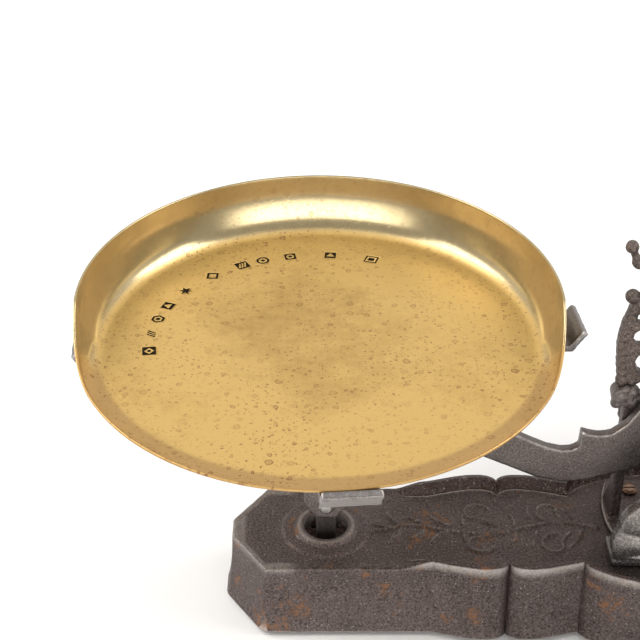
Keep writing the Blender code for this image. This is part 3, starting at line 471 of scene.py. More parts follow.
def ring_faces(rings, count, closed=True, first=0):
    """Quads between successive rings of count points."""
    faces = []
    for ring in range(rings - 1):
        low = first + ring * count
        high = low + count
        for step in range(count if closed else count - 1):
            after = (step + 1) % count
            faces.append((low + step, low + after, high + after, high + step))
    return faces


def end_faces(rings, count):
    """Quads between the last ring and the first."""
    last = (rings - 1) * count
    return [(last + step, last + (step + 1) % count, (step + 1) % count, step)
            for step in range(count)]


def apply_modifiers(made):
    bpy.context.view_layer.update()
    graph = bpy.context.evaluated_depsgraph_get()
    mesh = bpy.data.meshes.new_from_object(made.evaluated_get(graph), preserve_all_data_layers=True,
                                           depsgraph=graph)
    old = made.data
    made.modifiers.clear()
    made.data = mesh
    bpy.data.meshes.remove(old)


def boolean(made, other, operation):
    """Joins or cuts made with other, which is used up and leaves its material on its cuts."""
    step = made.modifiers.new("join", "BOOLEAN")
    step.operation = operation
    step.solver = "EXACT"
    step.material_mode = "TRANSFER"
    step.object = other
    apply_modifiers(made)
    bpy.data.objects.remove(other, do_unlink=True)


def edge_wear(made, reach):
    """Stores as its wear how far the surface turns outwards at each vertex: 1 at reach metres."""
    mesh = made.data
    co = points_of(made)
    count = len(co)
    normals = np.zeros(count * 3)
    mesh.vertex_normals.foreach_get("vector", normals)
    normals = normals.reshape(-1, 3)
    ends = np.zeros(len(mesh.edges) * 2, np.int64)
    mesh.edges.foreach_get("vertices", ends)
    one, two = ends.reshape(-1, 2).T
    degree = np.bincount(one, minlength=count) + np.bincount(two, minlength=count)
    degree = np.maximum(degree, 1)

    def around(values):
        total = np.bincount(one, weights=values[two], minlength=count)
        return (total + np.bincount(two, weights=values[one], minlength=count)) / degree

    middle = np.stack([around(co[:, axis]) for axis in range(3)], axis=1)
    rise = ((co - middle) * normals).sum(1) / reach
    for _ in range(2):
        rise = 0.5 * rise + 0.5 * around(rise)
    store(made, "wear_and_highlight", np.clip(rise, 0.0, 1.0))


def store(made, name, values):
    layer = made.data.attributes.get(name) or made.data.attributes.new(name, "FLOAT", "POINT")
    layer.data.foreach_set("value", np.asarray(values, np.float32))


def add_wear_and_highlight(made, values):
    """Raises the stored wear, which also carries painted highlights, to values where it is less."""
    wear_and_highlight = np.zeros(len(made.data.vertices))
    made.data.attributes["wear_and_highlight"].data.foreach_get("value", wear_and_highlight)
    store(made, "wear_and_highlight", np.maximum(wear_and_highlight, values))


def points_of(made):
    co = np.zeros(len(made.data.vertices) * 3)
    made.data.vertices.foreach_get("co", co)
    return co.reshape(-1, 3)


def join_meshes(name, meshes):
    bm = bmesh.new()
    for mesh in meshes:
        bm.from_mesh(mesh)
    joined = bpy.data.meshes.new(name)
    bm.to_mesh(joined)
    bm.free()
    return joined


def cast_copy(node, voxel, rounds, rough, grain, extras=()):
    """A CAD node, with any extra solids, as one even skin with soft edges and uneven faces."""
    name = node + "_skin"
    made = linked(name, join_meshes(name, [frame["nodes"][node].data, *extras]))
    skin = made.modifiers.new("skin", "REMESH")
    skin.mode = "VOXEL"
    skin.voxel_size = voxel * MM
    soft = made.modifiers.new("soft", "SMOOTH")
    soft.factor = 0.5
    soft.iterations = rounds
    uneven(made, rough, grain)
    apply_modifiers(made)
    made.data.materials.clear()
    made.data.shade_smooth()
    edge_wear(made, voxel * 0.35 * MM)
    return made


def uneven(made, depth, grain):
    """Pushes the surface in and out by up to depth mm, in lumps of about grain mm."""
    texture = bpy.data.textures.new(made.name + "_lumps", "CLOUDS")
    texture.noise_scale = grain * MM
    texture.noise_depth = 2
    push = made.modifiers.new("lumps", "DISPLACE")
    push.texture = texture
    push.texture_coords = "LOCAL"
    push.strength = depth * MM
    push.mid_level = 0.5


def place(made, look, body, slot, *nodes):
    """Gives a piece its material and its body, and hides the CAD nodes it stands for. The slot is not
    used.
    """
    if not any(made.data.materials):
        made.data.materials.clear()
        made.data.materials.append(look)
        made.data.polygons.foreach_set("material_index", [0] * len(made.data.polygons))
    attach(made, body)
    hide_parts(*nodes)


# ---------------------------------------------------------------- pans

PAN_RADIUS = 119.2
PAN_FLOOR_RADIUS = 107.2
# The wall's slope in degrees at shares of its length.
PAN_WALL_SLOPES = ((0.0, 0.0), (0.08, 40.0), (0.3, 62.0), (0.36, 67.0), (0.66, 73.0),
                   (0.78, 86.0), (1.0, 86.0))
PAN_THICKNESS = 1.4
PAN_SIDE_HEIGHT = 28.0
PAN_BACK_RISE = 3.5
PAN_LIP_HEIGHT = 2.5
PAN_LIP_FLARE = 2.2
PAN_LIP_RISE = 5.0
PAN_LIP_ANGLE = 62.0
PAN_WALL_ANGLE = 86.0
PAN_AROUND = 320
FLOOR_RINGS = 44
WALL_STEPS = 34
SLOPE_SAMPLES = 400
SLOPE_BLEND = 20
RIM_STEPS = 8
FLOOR_BASE = 0.12
FLOOR_DENT = 0.22
PAN_SEED = 3.0


def rim_height(angle):
    """The rim's height above the pan floor, by angle in degrees from the middle of the lip."""
    away = np.abs((angle + 180.0) % 360.0 - 180.0)
    lip = PAN_LIP_HEIGHT + PAN_LIP_RISE * (np.minimum(away, PAN_WALL_ANGLE) / PAN_WALL_ANGLE) ** 2
    drop = np.clip((PAN_WALL_ANGLE - away) / (PAN_WALL_ANGLE - PAN_LIP_ANGLE), 0.0, 1.0)
    wall = PAN_SIDE_HEIGHT + PAN_BACK_RISE * np.maximum(0.0, -np.cos(np.radians(away)))
    return lip + (wall - lip) * (1.0 - drop) ** 2


def floor_dents(x, y, seed):
    """Slow hollows and swellings of a floor that has been hammered flat, in mm."""
    values = np.zeros(len(x))
    for index, (px, py) in enumerate(zip(x, y)):
        values[index] = noise.noise(Vector((px * 0.028, py * 0.028, seed)))
        values[index] += 0.35 * noise.noise(Vector((px * 0.075, py * 0.075, seed + 7.0)))
    return values


def wall_curve():
    """The wall's shape, as shares of its run and its height, from its slope along the way up."""
    part = np.linspace(0.0, 1.0, WALL_STEPS + 1) ** 1.2
    fine = np.linspace(0.0, 1.0, SLOPE_SAMPLES)
    slope = np.radians(np.interp(fine, *np.array(PAN_WALL_SLOPES).T))
    spread = 2 * SLOPE_BLEND + 1
    slope = np.convolve(np.pad(slope, SLOPE_BLEND, "edge"), np.full(spread, 1 / spread), "valid")
    along, up = np.cumsum(np.cos(slope)), np.cumsum(np.sin(slope))
    along, up = np.interp(part, fine, along / along[-1]), np.interp(part, fine, up / up[-1])
    return list(zip(part, along, up))[1:]


def pan_mesh(name, centre, floor_z, seed):
    """A pressed pan as one closed sheet, with a rounded rim and a slightly uneven floor."""
    angle = np.linspace(0.0, TAU, PAN_AROUND, endpoint=False)
    height = rim_height(np.degrees(angle) + 90.0)
    flare = PAN_LIP_FLARE * np.maximum(0.0, 1.0 - height / PAN_SIDE_HEIGHT)
    run = PAN_RADIUS + flare - PAN_FLOOR_RADIUS
    inner = []
    for radius in np.linspace(2.5, PAN_FLOOR_RADIUS, FLOOR_RINGS):
        x, y = radius * np.cos(angle), radius * np.sin(angle)
        fade = 1.0 - (radius / PAN_FLOOR_RADIUS) ** 6
        inner.append((np.full(PAN_AROUND, radius),
                      FLOOR_BASE + FLOOR_DENT * fade * floor_dents(x, y, seed)))
    for part, along, up in wall_curve():
        inner.append((PAN_FLOOR_RADIUS + run * along, FLOOR_BASE * (1 - part) + height * up))
    inner = np.array(inner)
    along = np.gradient(inner, axis=0)
    along /= np.linalg.norm(along, axis=1, keepdims=True)
    outward = np.stack([along[:, 1], -along[:, 0]], axis=1)
    outer = inner + outward * PAN_THICKNESS
    tip = inner[-1] + outward[-1] * PAN_THICKNESS / 2
    round_rim = []
    for turn in np.linspace(0.0, math.pi, RIM_STEPS)[1:-1]:
        round_rim.append(tip + PAN_THICKNESS / 2 * (along[-1] * math.sin(turn)
                                                    - outward[-1] * math.cos(turn)))
    rings = np.concatenate([inner, np.array(round_rim), outer[::-1]])
    radius, z = rings[:, 0], rings[:, 1]
    verts = np.stack([centre[0] + radius * np.cos(angle), centre[1] + radius * np.sin(angle),
                      floor_z + z], axis=2).reshape(-1, 3) * MM
    faces = ring_faces(len(rings), PAN_AROUND)
    faces.append(tuple(range(PAN_AROUND))[::-1])
    last = (len(rings) - 1) * PAN_AROUND
    faces.append(tuple(range(last, last + PAN_AROUND)))
    made = mesh_object(name, verts, faces)
    made.data.set_sharp_from_angle(angle=math.radians(60))
    return made


def map_pan(pan, centre, floor_z, seed):
    """Stores where each point lay on the flat blank that the pan was pressed from, and how far it
    belongs to the wall, to the low lip in front and to the outer part of the floor.
    """
    x, y, z = points_of(pan).T / MM
    radius = np.hypot(x - centre[0], y - centre[1])
    beyond = np.maximum(radius - PAN_FLOOR_RADIUS, 0.0)
    reach = np.where(beyond > 0.0, PAN_FLOOR_RADIUS + np.hypot(beyond, z - floor_z), radius)
    share = reach / np.maximum(radius, 0.001) * MM
    flat = np.stack([(x - centre[0]) * share + seed, (y - centre[1]) * share,
                     np.full(len(x), seed)], axis=1)
    layer = pan.data.attributes.new("blank", "FLOAT_VECTOR", "POINT")
    layer.data.foreach_set("vector", flat.astype(np.float32).ravel())
    height = rim_height(np.degrees(np.arctan2(y - centre[1], x - centre[0])) + 90.0)
    lip = smooth((reach - PAN_FLOOR_RADIUS - 1.5) / 4.0) * (1.0 - smooth((height - 9.0) / 9.0))
    store(pan, "lip", lip)
    store(pan, "wall", smooth((z - floor_z - 0.6) / 3.6) * (1.0 - lip))
    # This share makes the floor paler towards its rim: a painted reflection of the wall's light.
    store(pan, "edge", smooth((radius - 30.0) / 60.0))


def prism(outlines, low, high):
    """A flat figure, the first outline less the others, as a solid between two heights in mm."""
    curve = bpy.data.curves.new("figure", "CURVE")
    curve.dimensions = "2D"
    curve.fill_mode = "BOTH"
    curve.extrude = (high - low) / 2 * MM
    for outline in outlines:
        spline = curve.splines.new("POLY")
        spline.points.add(len(outline) - 1)
        for point, (x, y) in zip(spline.points, outline):
            point.co = (x * MM, y * MM, 0.0, 1.0)
        spline.use_cyclic_u = True
    made = linked("figure", curve)
    bpy.context.view_layer.update()
    graph = bpy.context.evaluated_depsgraph_get()
    mesh = bpy.data.meshes.new_from_object(made.evaluated_get(graph), depsgraph=graph)
    bpy.data.objects.remove(made, do_unlink=True)
    mesh.transform(Matrix.Translation((0.0, 0.0, (low + high) / 2 * MM)))
    face_outwards(mesh, merge=0.000001)
    return mesh


def polygon(sides, radius, turn=0.0, centre=(0.0, 0.0)):
    return [(centre[0] + radius * math.cos(TAU * step / sides + turn),
             centre[1] + radius * math.sin(TAU * step / sides + turn)) for step in range(sides)]


def bar(width, height):
    return [(-width / 2, -height / 2), (width / 2, -height / 2), (width / 2, height / 2),
            (-width / 2, height / 2)]


def mark_figures():
    """Plain geometric punch marks, each a list of figures: an outline less those inside it."""
    block = bar(7.2, 6.8)
    small_block = bar(6.2, 6.2)
    stripe = [(-3.0, -2.2), (-2.0, -2.2), (0.0, 2.2), (-1.0, 2.2)]
    slant = [[(x + px, y) for px, y in stripe] for x in (-0.1, 1.5, 3.1)]
    wedge = [small_block, polygon(3, 2.6, math.pi / 2)]
    star = [(radius * math.cos(TAU * step / 12), radius * math.sin(TAU * step / 12))
            for step, radius in enumerate((3.8, 1.7) * 6)]
    ring = [[polygon(24, 3.6), polygon(24, 2.4)], [polygon(12, 1.2)]]
    return [[[block, polygon(4, 2.6), polygon(4, 1.3)]], [[outline] for outline in slant],
            [[polygon(6, 3.7), polygon(6, 2.4)], [polygon(6, 1.3)]], [wedge], [[star]],
            [[polygon(4, 4.3), polygon(4, 2.6)]], [[block] + slant], ring,
            [[small_block, polygon(16, 2.2), polygon(16, 1.1)]], [wedge],
            [[block, bar(5.4, 5.0), bar(3.4, 3.0)]]]


MARK_ARC_RADIUS = 85.5
MARK_DEPTH = 0.5
MARK_ANGLES = (-173.0, 176.5, 167.0, 158.0, 146.5, 132.7, 119.7, 111.5, 101.0, 86.0, 70.5)


def punch_marks(pan, centre, floor_z):
    """Sinks an arc of plain marks into the floor's inner face."""
    punches = []
    for figures, angle in zip(mark_figures(), MARK_ANGLES):
        turn = math.radians(angle)
        spot = Vector((centre[0] + MARK_ARC_RADIUS * math.cos(turn),
                       centre[1] + MARK_ARC_RADIUS * math.sin(turn), floor_z)) * MM
        place_mark = Matrix.Translation(spot) @ Matrix.Rotation(turn - math.pi / 2, 4, "Z")
        for figure in figures:
            mesh = prism(figure, -MARK_DEPTH, 2.0)
            mesh.transform(place_mark)
            punches.append(mesh)
    cutter = linked("punches", join_meshes("punches", punches))
    cutter.data.materials.append(MARK)
    boolean(pan, cutter, "DIFFERENCE")


def make_pans():
    for label, side in SIDES:
        low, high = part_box(f"pan_{label}")
        centre = ((low.x + high.x) / 2 / MM, 0.0)
        floor_z = low.z / MM + PAN_THICKNESS
        seed = PAN_SEED + side
        pan = pan_mesh(f"pan_sheet_{label}", centre, floor_z, seed)
        pan.data.materials.append(BRASS)
        if side < 0:
            punch_marks(pan, centre, floor_z)
        map_pan(pan, centre, floor_z, seed)
        place(pan, BRASS, f"pan_dish_{label}", "brass", f"pan_{label}")


# ---------------------------------------------------------------- base

BASE_HALF_LENGTH = 239.4
BASE_HALF_WIDTH = 34.0
BASE_END_HALF_WIDTH = 6.7
BASE_SHOULDER_X = 220.6
BASE_WALL = 4.5
BASE_SKIRT_Z = 2.5
BRACKET_X = 91.0
BRACKET_REACH = 40.0
BRACKET_BULGE = 6.0
LOBE_REACH = 51.0
LOBE_BULGE = 19.0
BORDER_HEIGHT = 6.0
BORDER_LOW = 0.6
BORDER_CORNER = 1.1
BORDER_REACH = 150.0
RIDGE_CREST = 2.4
RIDGE_FOOT = 7.2
BEAD_EDGE = 7.4
STEM_HOLE_RADIUS = 12.0


def base_half_width(x):
    """Half the base's width at x, with its shoulders drawn in to the ends."""
    x = np.abs(x)
    away = np.minimum(np.abs(x - BRACKET_X) / BRACKET_REACH, 1.0)
    width = BASE_HALF_WIDTH + BRACKET_BULGE * np.sin(math.pi * away ** 0.55)
    lobe = np.clip((LOBE_REACH - x) / (2 * LOBE_REACH), 0.0, 0.5)
    width = width + LOBE_BULGE * np.sin(math.pi * lobe) ** 0.6
    drawn = np.clip((x - BASE_SHOULDER_X) / (BASE_HALF_LENGTH - BASE_SHOULDER_X), 0.0, 1.0)
    return width + (BASE_END_HALF_WIDTH - width) * drawn


def border_shape(x, edge):
    """Height of the raised border at x, edge mm in from the side: a rounded ridge and a bead."""
    inside = BORDER_REACH - np.abs(x)
    tall = BORDER_LOW + (BORDER_HEIGHT - BORDER_LOW) * smooth(inside / 19.0)
    corner = np.clip(1.0 - edge / BORDER_CORNER, 0.0, 1.0)
    fall = np.clip((RIDGE_FOOT - edge) / (RIDGE_FOOT - RIDGE_CREST), 0.0, 1.0) ** 1.9
    bead = 0.7 * np.exp(-((edge - BEAD_EDGE) / 0.6) ** 2) * smooth(inside / 12.0)
    return tall * np.where(edge < RIDGE_CREST, 1.0, fall) + np.sqrt(1.0 - corner ** 2) - 1.0 + bead


def scroll(centre, start, turns, first, last):
    """Points along a spiral from radius first to radius last, with start in degrees."""
    count = int(abs(turns) * TAU / 0.12)
    points = []
    for index in range(count):
        part = index / (count - 1)
        angle = math.radians(start) + turns * TAU * part
        radius = first + (last - first) * part
        points.append((centre[0] + radius * math.cos(angle), centre[1] + radius * math.sin(angle),
                       1.9 - 0.9 * part))
    return points


def sweep(points, wide_first, wide_last):
    """A smooth line through points, with its half width from first to last."""
    line = []
    for index in range(len(points) - 1):
        before = points[max(0, index - 1)]
        one, two = points[index], points[index + 1]
        after = points[min(len(points) - 1, index + 2)]
        for step in range(8):
            t = step / 8
            spot = [0.5 * (2 * b + (c - a) * t + (2 * a - 5 * b + 4 * c - d) * t * t
                           + (3 * b - 3 * c + d - a) * t ** 3)
                    for a, b, c, d in zip(before, one, two, after)]
            share = (index + t) / (len(points) - 1)
            line.append((spot[0], spot[1], wide_first + (wide_last - wide_first) * share))
    line.append((*points[-1], wide_last))
    return line


def leaf(root, turn, length, wide, curl):
    """A pointed leaf: a line that curls as it goes, widest a third of the way along."""
    points = []
    stride = length / 24
    for step in range(25):
        part = step / 24
        angle = math.radians(turn + curl * part)
        if step:
            root = (root[0] + stride * math.cos(angle), root[1] + stride * math.sin(angle))
        belly = 0.35 + 1.92 * part ** 0.7 * (1.0 - part) ** 0.8
        points.append((*root, wide * belly * (1.02 - part)))
    return points


VINE = [(40, 0), (58, 5), (76, 1), (96, -5), (118, -3), (138, 2), (152, 0)]
# Each leaf: the x and y of its root, its heading, length, width and curl.
LEAVES = ((48, 2, 80, 22, 2.6, -50), (54, 4, 35, 17, 2.2, 70), (72, 3, 60, 20, 2.8, 45),
          (84, 1, 100, 17, 2.2, -60), (92, 0, 50, 24, 3.0, -55), (112, 2, 75, 16, 2.2, 60),
          (120, 2, 20, 22, 2.6, 60), (134, 2, 65, 15, 2.3, -70), (146, 1, 40, 19, 2.6, 40),
          (150, 0, 5, 14, 2.0, 20))


def relief_lines():
    """The cast leafwork of one half of the base top, as lines of x, y and half width."""
    lines = [sweep(VINE, 2.0, 1.3)]
    for flip in (1, -1):
        lines.append(scroll((63, 14 * flip), -90 * flip, 0.8 * flip, 9.0, 3.2))
        lines.append(scroll((105, 12 * flip), 150 * flip, -0.8 * flip, 8.5, 2.8))
        for x, y, turn, length, wide, curl in LEAVES:
            lines.append(leaf((x, y * flip), turn * flip, length, wide, curl * flip))
    return lines


def relief_height(x, y):
    """Height of the leafwork above the base top, in mm: low rounded strokes, veined where wide."""
    height = np.zeros(len(x))
    across = np.abs(x)
    for line in relief_lines():
        gap = np.full(len(x), 9.0)
        width = np.ones(len(x))
        for px, py, wide in line:
            off = np.hypot(across - px, y - py)
            closer = off / max(wide, 0.3) < gap / width
            gap = np.where(closer, off, gap)
            width = np.where(closer, max(wide, 0.3), width)
        body = np.sqrt(np.clip(1.0 - (gap / width) ** 2, 0.0, 1.0))
        body = body * np.minimum(0.55 + 0.3 * width, 1.5)
        vein = 0.55 * np.exp(-(gap / 0.5) ** 2) * smooth((width - 1.6) / 0.6)
        height = np.maximum(height, body - vein * (body > 0.3))
    return height


COLUMN_STEP = 0.85
CLOSE_STEP = 0.45
CLOSE_REACH = 2.5


def base_columns():
    """x of the surface columns, which stand closer at the cusps and the shoulders."""
    half = [0.0]
    while half[-1] < BASE_HALF_LENGTH:
        x = half[-1]
        near = min(abs(x - turn) for turn in (BRACKET_X, LOBE_REACH, BASE_SHOULDER_X))
        half.append(min(BASE_HALF_LENGTH, x + (CLOSE_STEP if near < CLOSE_REACH else COLUMN_STEP)))
    half = np.array(half)
    return np.concatenate([-half[:0:-1], half])


# Distances from the side at which the base top has a row of points.
EDGE_STEPS = (0.0, 0.25, 0.6, 1.1, 1.75, 2.4, 2.9, 3.5, 4.2, 5.0, 5.8, 6.5, 6.9, 7.2, 7.5,
              7.9, 8.4, 9.0)
# The base wall from its top edge down, round its lip and up inside: how far out, and its height.
WALL_LEVELS = ((0.0, 42.0), (0.25, 36.0), (0.7, 28.0), (1.4, 20.0), (2.4, 12.0), (3.4, 6.5),
               (3.9, 4.6), (4.2, 3.8), (4.1, 2.9), (3.4, BASE_SKIRT_Z), (-1.2, BASE_SKIRT_Z),
               (-BASE_WALL, 12.0), (-BASE_WALL - 0.4, 36.0),
               (-BASE_WALL - 2.0, BASE_TOP - BASE_WALL))
RING_PROFILE = ((STEM_HOLE_RADIUS - 1, BASE_TOP - 7), (18.0, BASE_TOP - 7), (18.0, BASE_TOP + 0.9),
                (16.9, BASE_TOP + 1.3), (16.2, BASE_TOP + 2.2), (15.2, BASE_TOP + 2.9),
                (13.9, BASE_TOP + 3.1), (12.8, BASE_TOP + 2.7),
                (STEM_HOLE_RADIUS - 1, BASE_TOP + 2.2))
HOLE_PROFILE = ((0.001, 20.0), (STEM_HOLE_RADIUS, 20.0), (STEM_HOLE_RADIUS, BASE_TOP + 1.7),
                (STEM_HOLE_RADIUS + 2.5, 60.0), (0.001, 60.0))
FOOT_PROFILE = ((0.0, 0.0), (8.4, 0.0), (9.0, 0.6), (9.0, 4.0), (6.0, 9.0), (6.0, 41.0),
                (0.0, 41.0))
FOOT_X = 203.0
FOOT_Y = 27.0
HOLLOW_RADIUS = 25.0
BASE_WOBBLE = 0.16


def base_top_points():
    """The base top's points in mm, row by row along X, with the numbers of rows and columns."""
    columns = base_columns()
    width = base_half_width(columns)
    squeeze = np.minimum(1.0, width / 16.0)
    rows = [-(width - edge * squeeze) for edge in EDGE_STEPS]
    rows += [share * (width - EDGE_STEPS[-1] * squeeze)
             for share in np.linspace(-1.0, 1.0, 61)[1:-1]]
    rows += [width - edge * squeeze for edge in EDGE_STEPS[::-1]]
    y = np.array(rows)
    x = np.broadcast_to(columns, y.shape)
    edge = np.minimum(width - np.abs(y), BASE_HALF_LENGTH - np.abs(x)).ravel()
    x, y = x.ravel(), y.ravel()
    z = BASE_TOP + border_shape(x, edge) + relief_height(x, y) * smooth((edge - 7.6) / 2.5)
    for side in (-1, 1):
        z = z + smooth((HOLLOW_RADIUS - np.hypot(x - side * ARM, y)) / 1.8)
    wobble = [noise.noise(Vector((px * 0.16, py * 0.16, 1.0))) for px, py in zip(x, y)]
    z = z + BASE_WOBBLE * np.array(wobble)
    return np.stack([x, y, z], axis=1), len(rows), len(columns)


def base_shell():
    """The base's top and its flared wall, inside and out, as one closed surface."""
    top, many, count = base_top_points()
    loop = list(range(count)) + [row * count + count - 1 for row in range(1, many)]
    loop += [(many - 1) * count + column for column in range(count - 2, -1, -1)]
    loop += [row * count for row in range(many - 2, 0, -1)]
    rim = top[loop]
    around = len(loop)
    on_side = np.abs(rim[:, 0]) < BASE_SHOULDER_X
    at_end = (np.abs(rim[:, 1]) < BASE_END_HALF_WIDTH - 0.01) & ~on_side
    slope = (BASE_HALF_WIDTH - BASE_END_HALF_WIDTH) / (BASE_HALF_LENGTH - BASE_SHOULDER_X)
    lean = math.hypot(1.0, slope)
    out = np.sign(rim[:, :2]) * (slope / lean, 1.0 / lean)
    out[on_side] = np.sign(rim[on_side, :2]) * (0.0, 1.0)
    out[at_end] = np.sign(rim[at_end, :2]) * (1.0, 0.0)
    verts = [top]
    for offset, level in WALL_LEVELS:
        verts.append(np.column_stack([rim[:, :2] + out * offset, np.full(around, level)]))
    first = many * count
    faces = ring_faces(many, count, closed=False)
    faces += [(loop[step], first + step, first + (step + 1) % around, loop[(step + 1) % around])
              for step in range(around)]
    faces += [(a, d, c, b) for a, b, c, d in ring_faces(len(WALL_LEVELS), around, True, first)]
    last = first + (len(WALL_LEVELS) - 1) * around
    faces.append(tuple(range(last, last + around))[::-1])
    made = mesh_object("base_shell", np.concatenate(verts) * MM, faces)
    face_outwards(made.data)
    return made


def make_base():
    made = base_shell()
    for side in (-1, 1):
        boolean(made, turned("ring", RING_PROFILE, (side * ARM, 0.0), 96), "UNION")
        boolean(made, turned("hole", HOLE_PROFILE, (side * ARM, 0.0), 96), "DIFFERENCE")
    for side in (-1, 1):
        for depth in (-1, 1):
            foot = turned("foot", FOOT_PROFILE, (side * FOOT_X, depth * FOOT_Y), 40)
            boolean(made, foot, "UNION")
    boolean(made, stay_lug(), "UNION")
    made.data.shade_smooth()
    made.data.set_sharp_from_angle(angle=math.radians(50))
    edge_wear(made, 0.25 * MM)
    paint_base(made)
    place(made, IRON, "base", "cast_iron", "base_casting")


STAY_Z = 21.0
LUG_RADIUS = 8.0
LUG_TOP = 42.0
LUG_BORE_RADIUS = 3.3
LUG_HALF_DEPTH = 4.5


def stay_lug():
    """The lug under the base top that the stay turns on, rounded below and bored for its pivot."""
    arc = [(LUG_RADIUS * math.cos(turn), STAY_Z + LUG_RADIUS * math.sin(turn))
           for turn in np.linspace(0.0, -math.pi, 25)]
    outline = [(LUG_RADIUS, LUG_TOP)] + arc + [(-LUG_RADIUS, LUG_TOP)]
    bore = polygon(32, LUG_BORE_RADIUS, 0.0, (0.0, STAY_Z))
    mesh = prism([outline, bore], -LUG_HALF_DEPTH, LUG_HALF_DEPTH)
    mesh.transform(Matrix.Rotation(math.pi / 2, 4, "X"))
    return linked("lug", mesh)


# A patch of paint beside each stem hole.
PATCH_X = ARM - 27.0
PATCH_Y = -3.0
PATCH_RADIUS = 13.0


def paint_base(made):
    """Where old red-brown paint is left, where the stem holes' bores get the same dark colour as
    painted shade, and where the iron has been rubbed pale.
    """
    x, y, z = points_of(made).T / MM
    edge = base_half_width(x) - np.abs(y)
    inside = BORDER_REACH - np.abs(x)
    above = z - 40.0
    flank = smooth((edge - 1.6) / 1.0) * smooth((8.0 - edge) / 1.4) * smooth(inside / 18.0)
    flank = flank * smooth(above / 2.0)
    near = np.hypot(np.abs(x) - PATCH_X, y - PATCH_Y)
    patch = smooth((PATCH_RADIUS - near) / 6.0) * 0.75
    away = np.hypot(np.abs(x) - ARM, y)
    # Painted shade: the bore of each stem hole, under the top, is darkened with the paint's colour.
    bore = smooth((STEM_HOLE_RADIUS + 1.0 - away) / 0.8) * smooth((BASE_TOP + 1.0 - z) / 1.5)
    store(made, "paint_and_shade", np.maximum(np.maximum(flank, patch), bore))
    inward = np.minimum(edge, (BASE_HALF_LENGTH - np.abs(x)) * 0.8)
    ends = smooth((9.0 - inward) / 5.0) * smooth((np.abs(x) - 196.0) / 14.0) * smooth(above / 3.0)
    bead = np.exp(-((edge - BEAD_EDGE) / 0.5) ** 2) * smooth(inside / 12.0) * smooth(above / 3.0)
    add_wear_and_highlight(made, np.maximum(0.55 * ends, 0.95 * bead))


def turned(name, profile, centre, around):
    """A closed ring or disc about a vertical line: profile holds radius and height in mm."""
    angle = np.linspace(0.0, TAU, around, endpoint=False)
    verts = []
    for radius, z in profile:
        verts.append(np.stack([centre[0] + radius * np.cos(angle),
                               centre[1] + radius * np.sin(angle), np.full(around, z)], axis=1))
    faces = ring_faces(len(profile), around) + end_faces(len(profile), around)
    made = mesh_object(name, np.concatenate(verts) * MM, faces)
    face_outwards(made.data, merge=0.000002, dissolve=True)
    return made


# ---------------------------------------------------------------- castings and forgings

def ball_mesh(radius, centre):
    bm = bmesh.new()
    bmesh.ops.create_uvsphere(bm, u_segments=24, v_segments=14, radius=radius * MM)
    bmesh.ops.translate(bm, verts=bm.verts, vec=Vector(centre) * MM)
    mesh = bpy.data.meshes.new("ball")
    bm.to_mesh(mesh)
    bm.free()
    return mesh


def rib_mesh(path, radius, y, closed=False, ripple=0.0):
    """A round rib of one radius along a path of x and z, at depth y, with slight rings along it."""
    path = np.array(path, float)
    along = np.gradient(path, axis=0)
    if closed:
        along = np.roll(path, -1, axis=0) - np.roll(path, 1, axis=0)
    along /= np.linalg.norm(along, axis=1, keepdims=True)
    travel = np.concatenate([[0.0], np.cumsum(np.linalg.norm(np.diff(path, axis=0), axis=1))])
    thick = radius * (1.0 + ripple * np.sin(travel * TAU / 4.2))
    around = 14
    verts = []
    for point, heading, wide in zip(path, along, thick):
        for turn in np.linspace(0.0, TAU, around, endpoint=False):
            reach = wide * math.cos(turn)
            verts.append((point[0] - heading[1] * reach, y + wide * math.sin(turn),
                          point[1] + heading[0] * reach))
    count = len(path)
    faces = ring_faces(count, around)
    if closed:
        faces += end_faces(count, around)
    else:
        faces.append(tuple(range(around))[::-1])
        faces.append(tuple(range((count - 1) * around, count * around)))
    mesh = bpy.data.meshes.new("rib")
    mesh.from_pydata((np.array(verts) * MM).tolist(), [], faces)
    face_outwards(mesh)
    return mesh


def oval(centre, wide, high):
    return [(centre[0] + wide * math.cos(turn), centre[1] + high * math.sin(turn))
            for turn in np.linspace(0.0, TAU, 28, endpoint=False)]


CREST_Y = 9.0


def crest_detail():
    """The crest's raised ribs: two bowed sides, rims round its openings, and knobs."""
    parts = [rib_mesh(oval((0.0, 172.5), 16.2, 16.2), 2.4, CREST_Y, True, 0.08)]
    side_line = [(33.4, 138.0), (35.0, 147.0), (36.0, 160.0), (34.9, 171.5), (31.6, 182.5),
                 (27.2, 188.4), (20.5, 193.6), (11.0, 198.2), (0.0, 199.8)]
    for side in (-1, 1):
        line = [(side * x, z) for x, z, _ in sweep(side_line, 1.0, 1.0)]
        parts.append(rib_mesh(line, 3.3, CREST_Y, False, 0.09))
        for x, z, wide, high in ((27.5, 176.5, 5.3, 4.7), (27.0, 165.0, 5.8, 6.2),
                                 (23.5, 149.5, 6.8, 7.6), (17.5, 191.5, 5.7, 4.2)):
            parts.append(rib_mesh(oval((side * x, z), wide, high), 1.5, CREST_Y - 1.6, True, 0.1))
        parts.append(rib_mesh([(side * 25.0, 139.5), (side * 18.0, 144.0), (side * 12.5, 151.5),
                               (side * 8.0, 155.0)], 2.0, CREST_Y - 1.2, False, 0.1))
        for radius, x, z in ((3.9, 34.4, 188.6), (2.3, 30.0, 187.0), (3.7, 33.6, 208.4),
                             (2.2, 28.5, 205.8), (3.5, 38.0, 217.0), (2.6, 21.5, 171.0),
                             (2.4, 31.0, 171.2), (2.6, 21.0, 158.0), (3.0, 31.5, 156.6),
                             (2.2, 30.6, 141.5), (3.6, 34.2, 138.0), (3.2, 28.8, 137.6),
                             (2.6, 31.6, 145.0)):
            parts.append(ball_mesh(radius, (side * x, CREST_Y - 0.4, z)))
    return parts


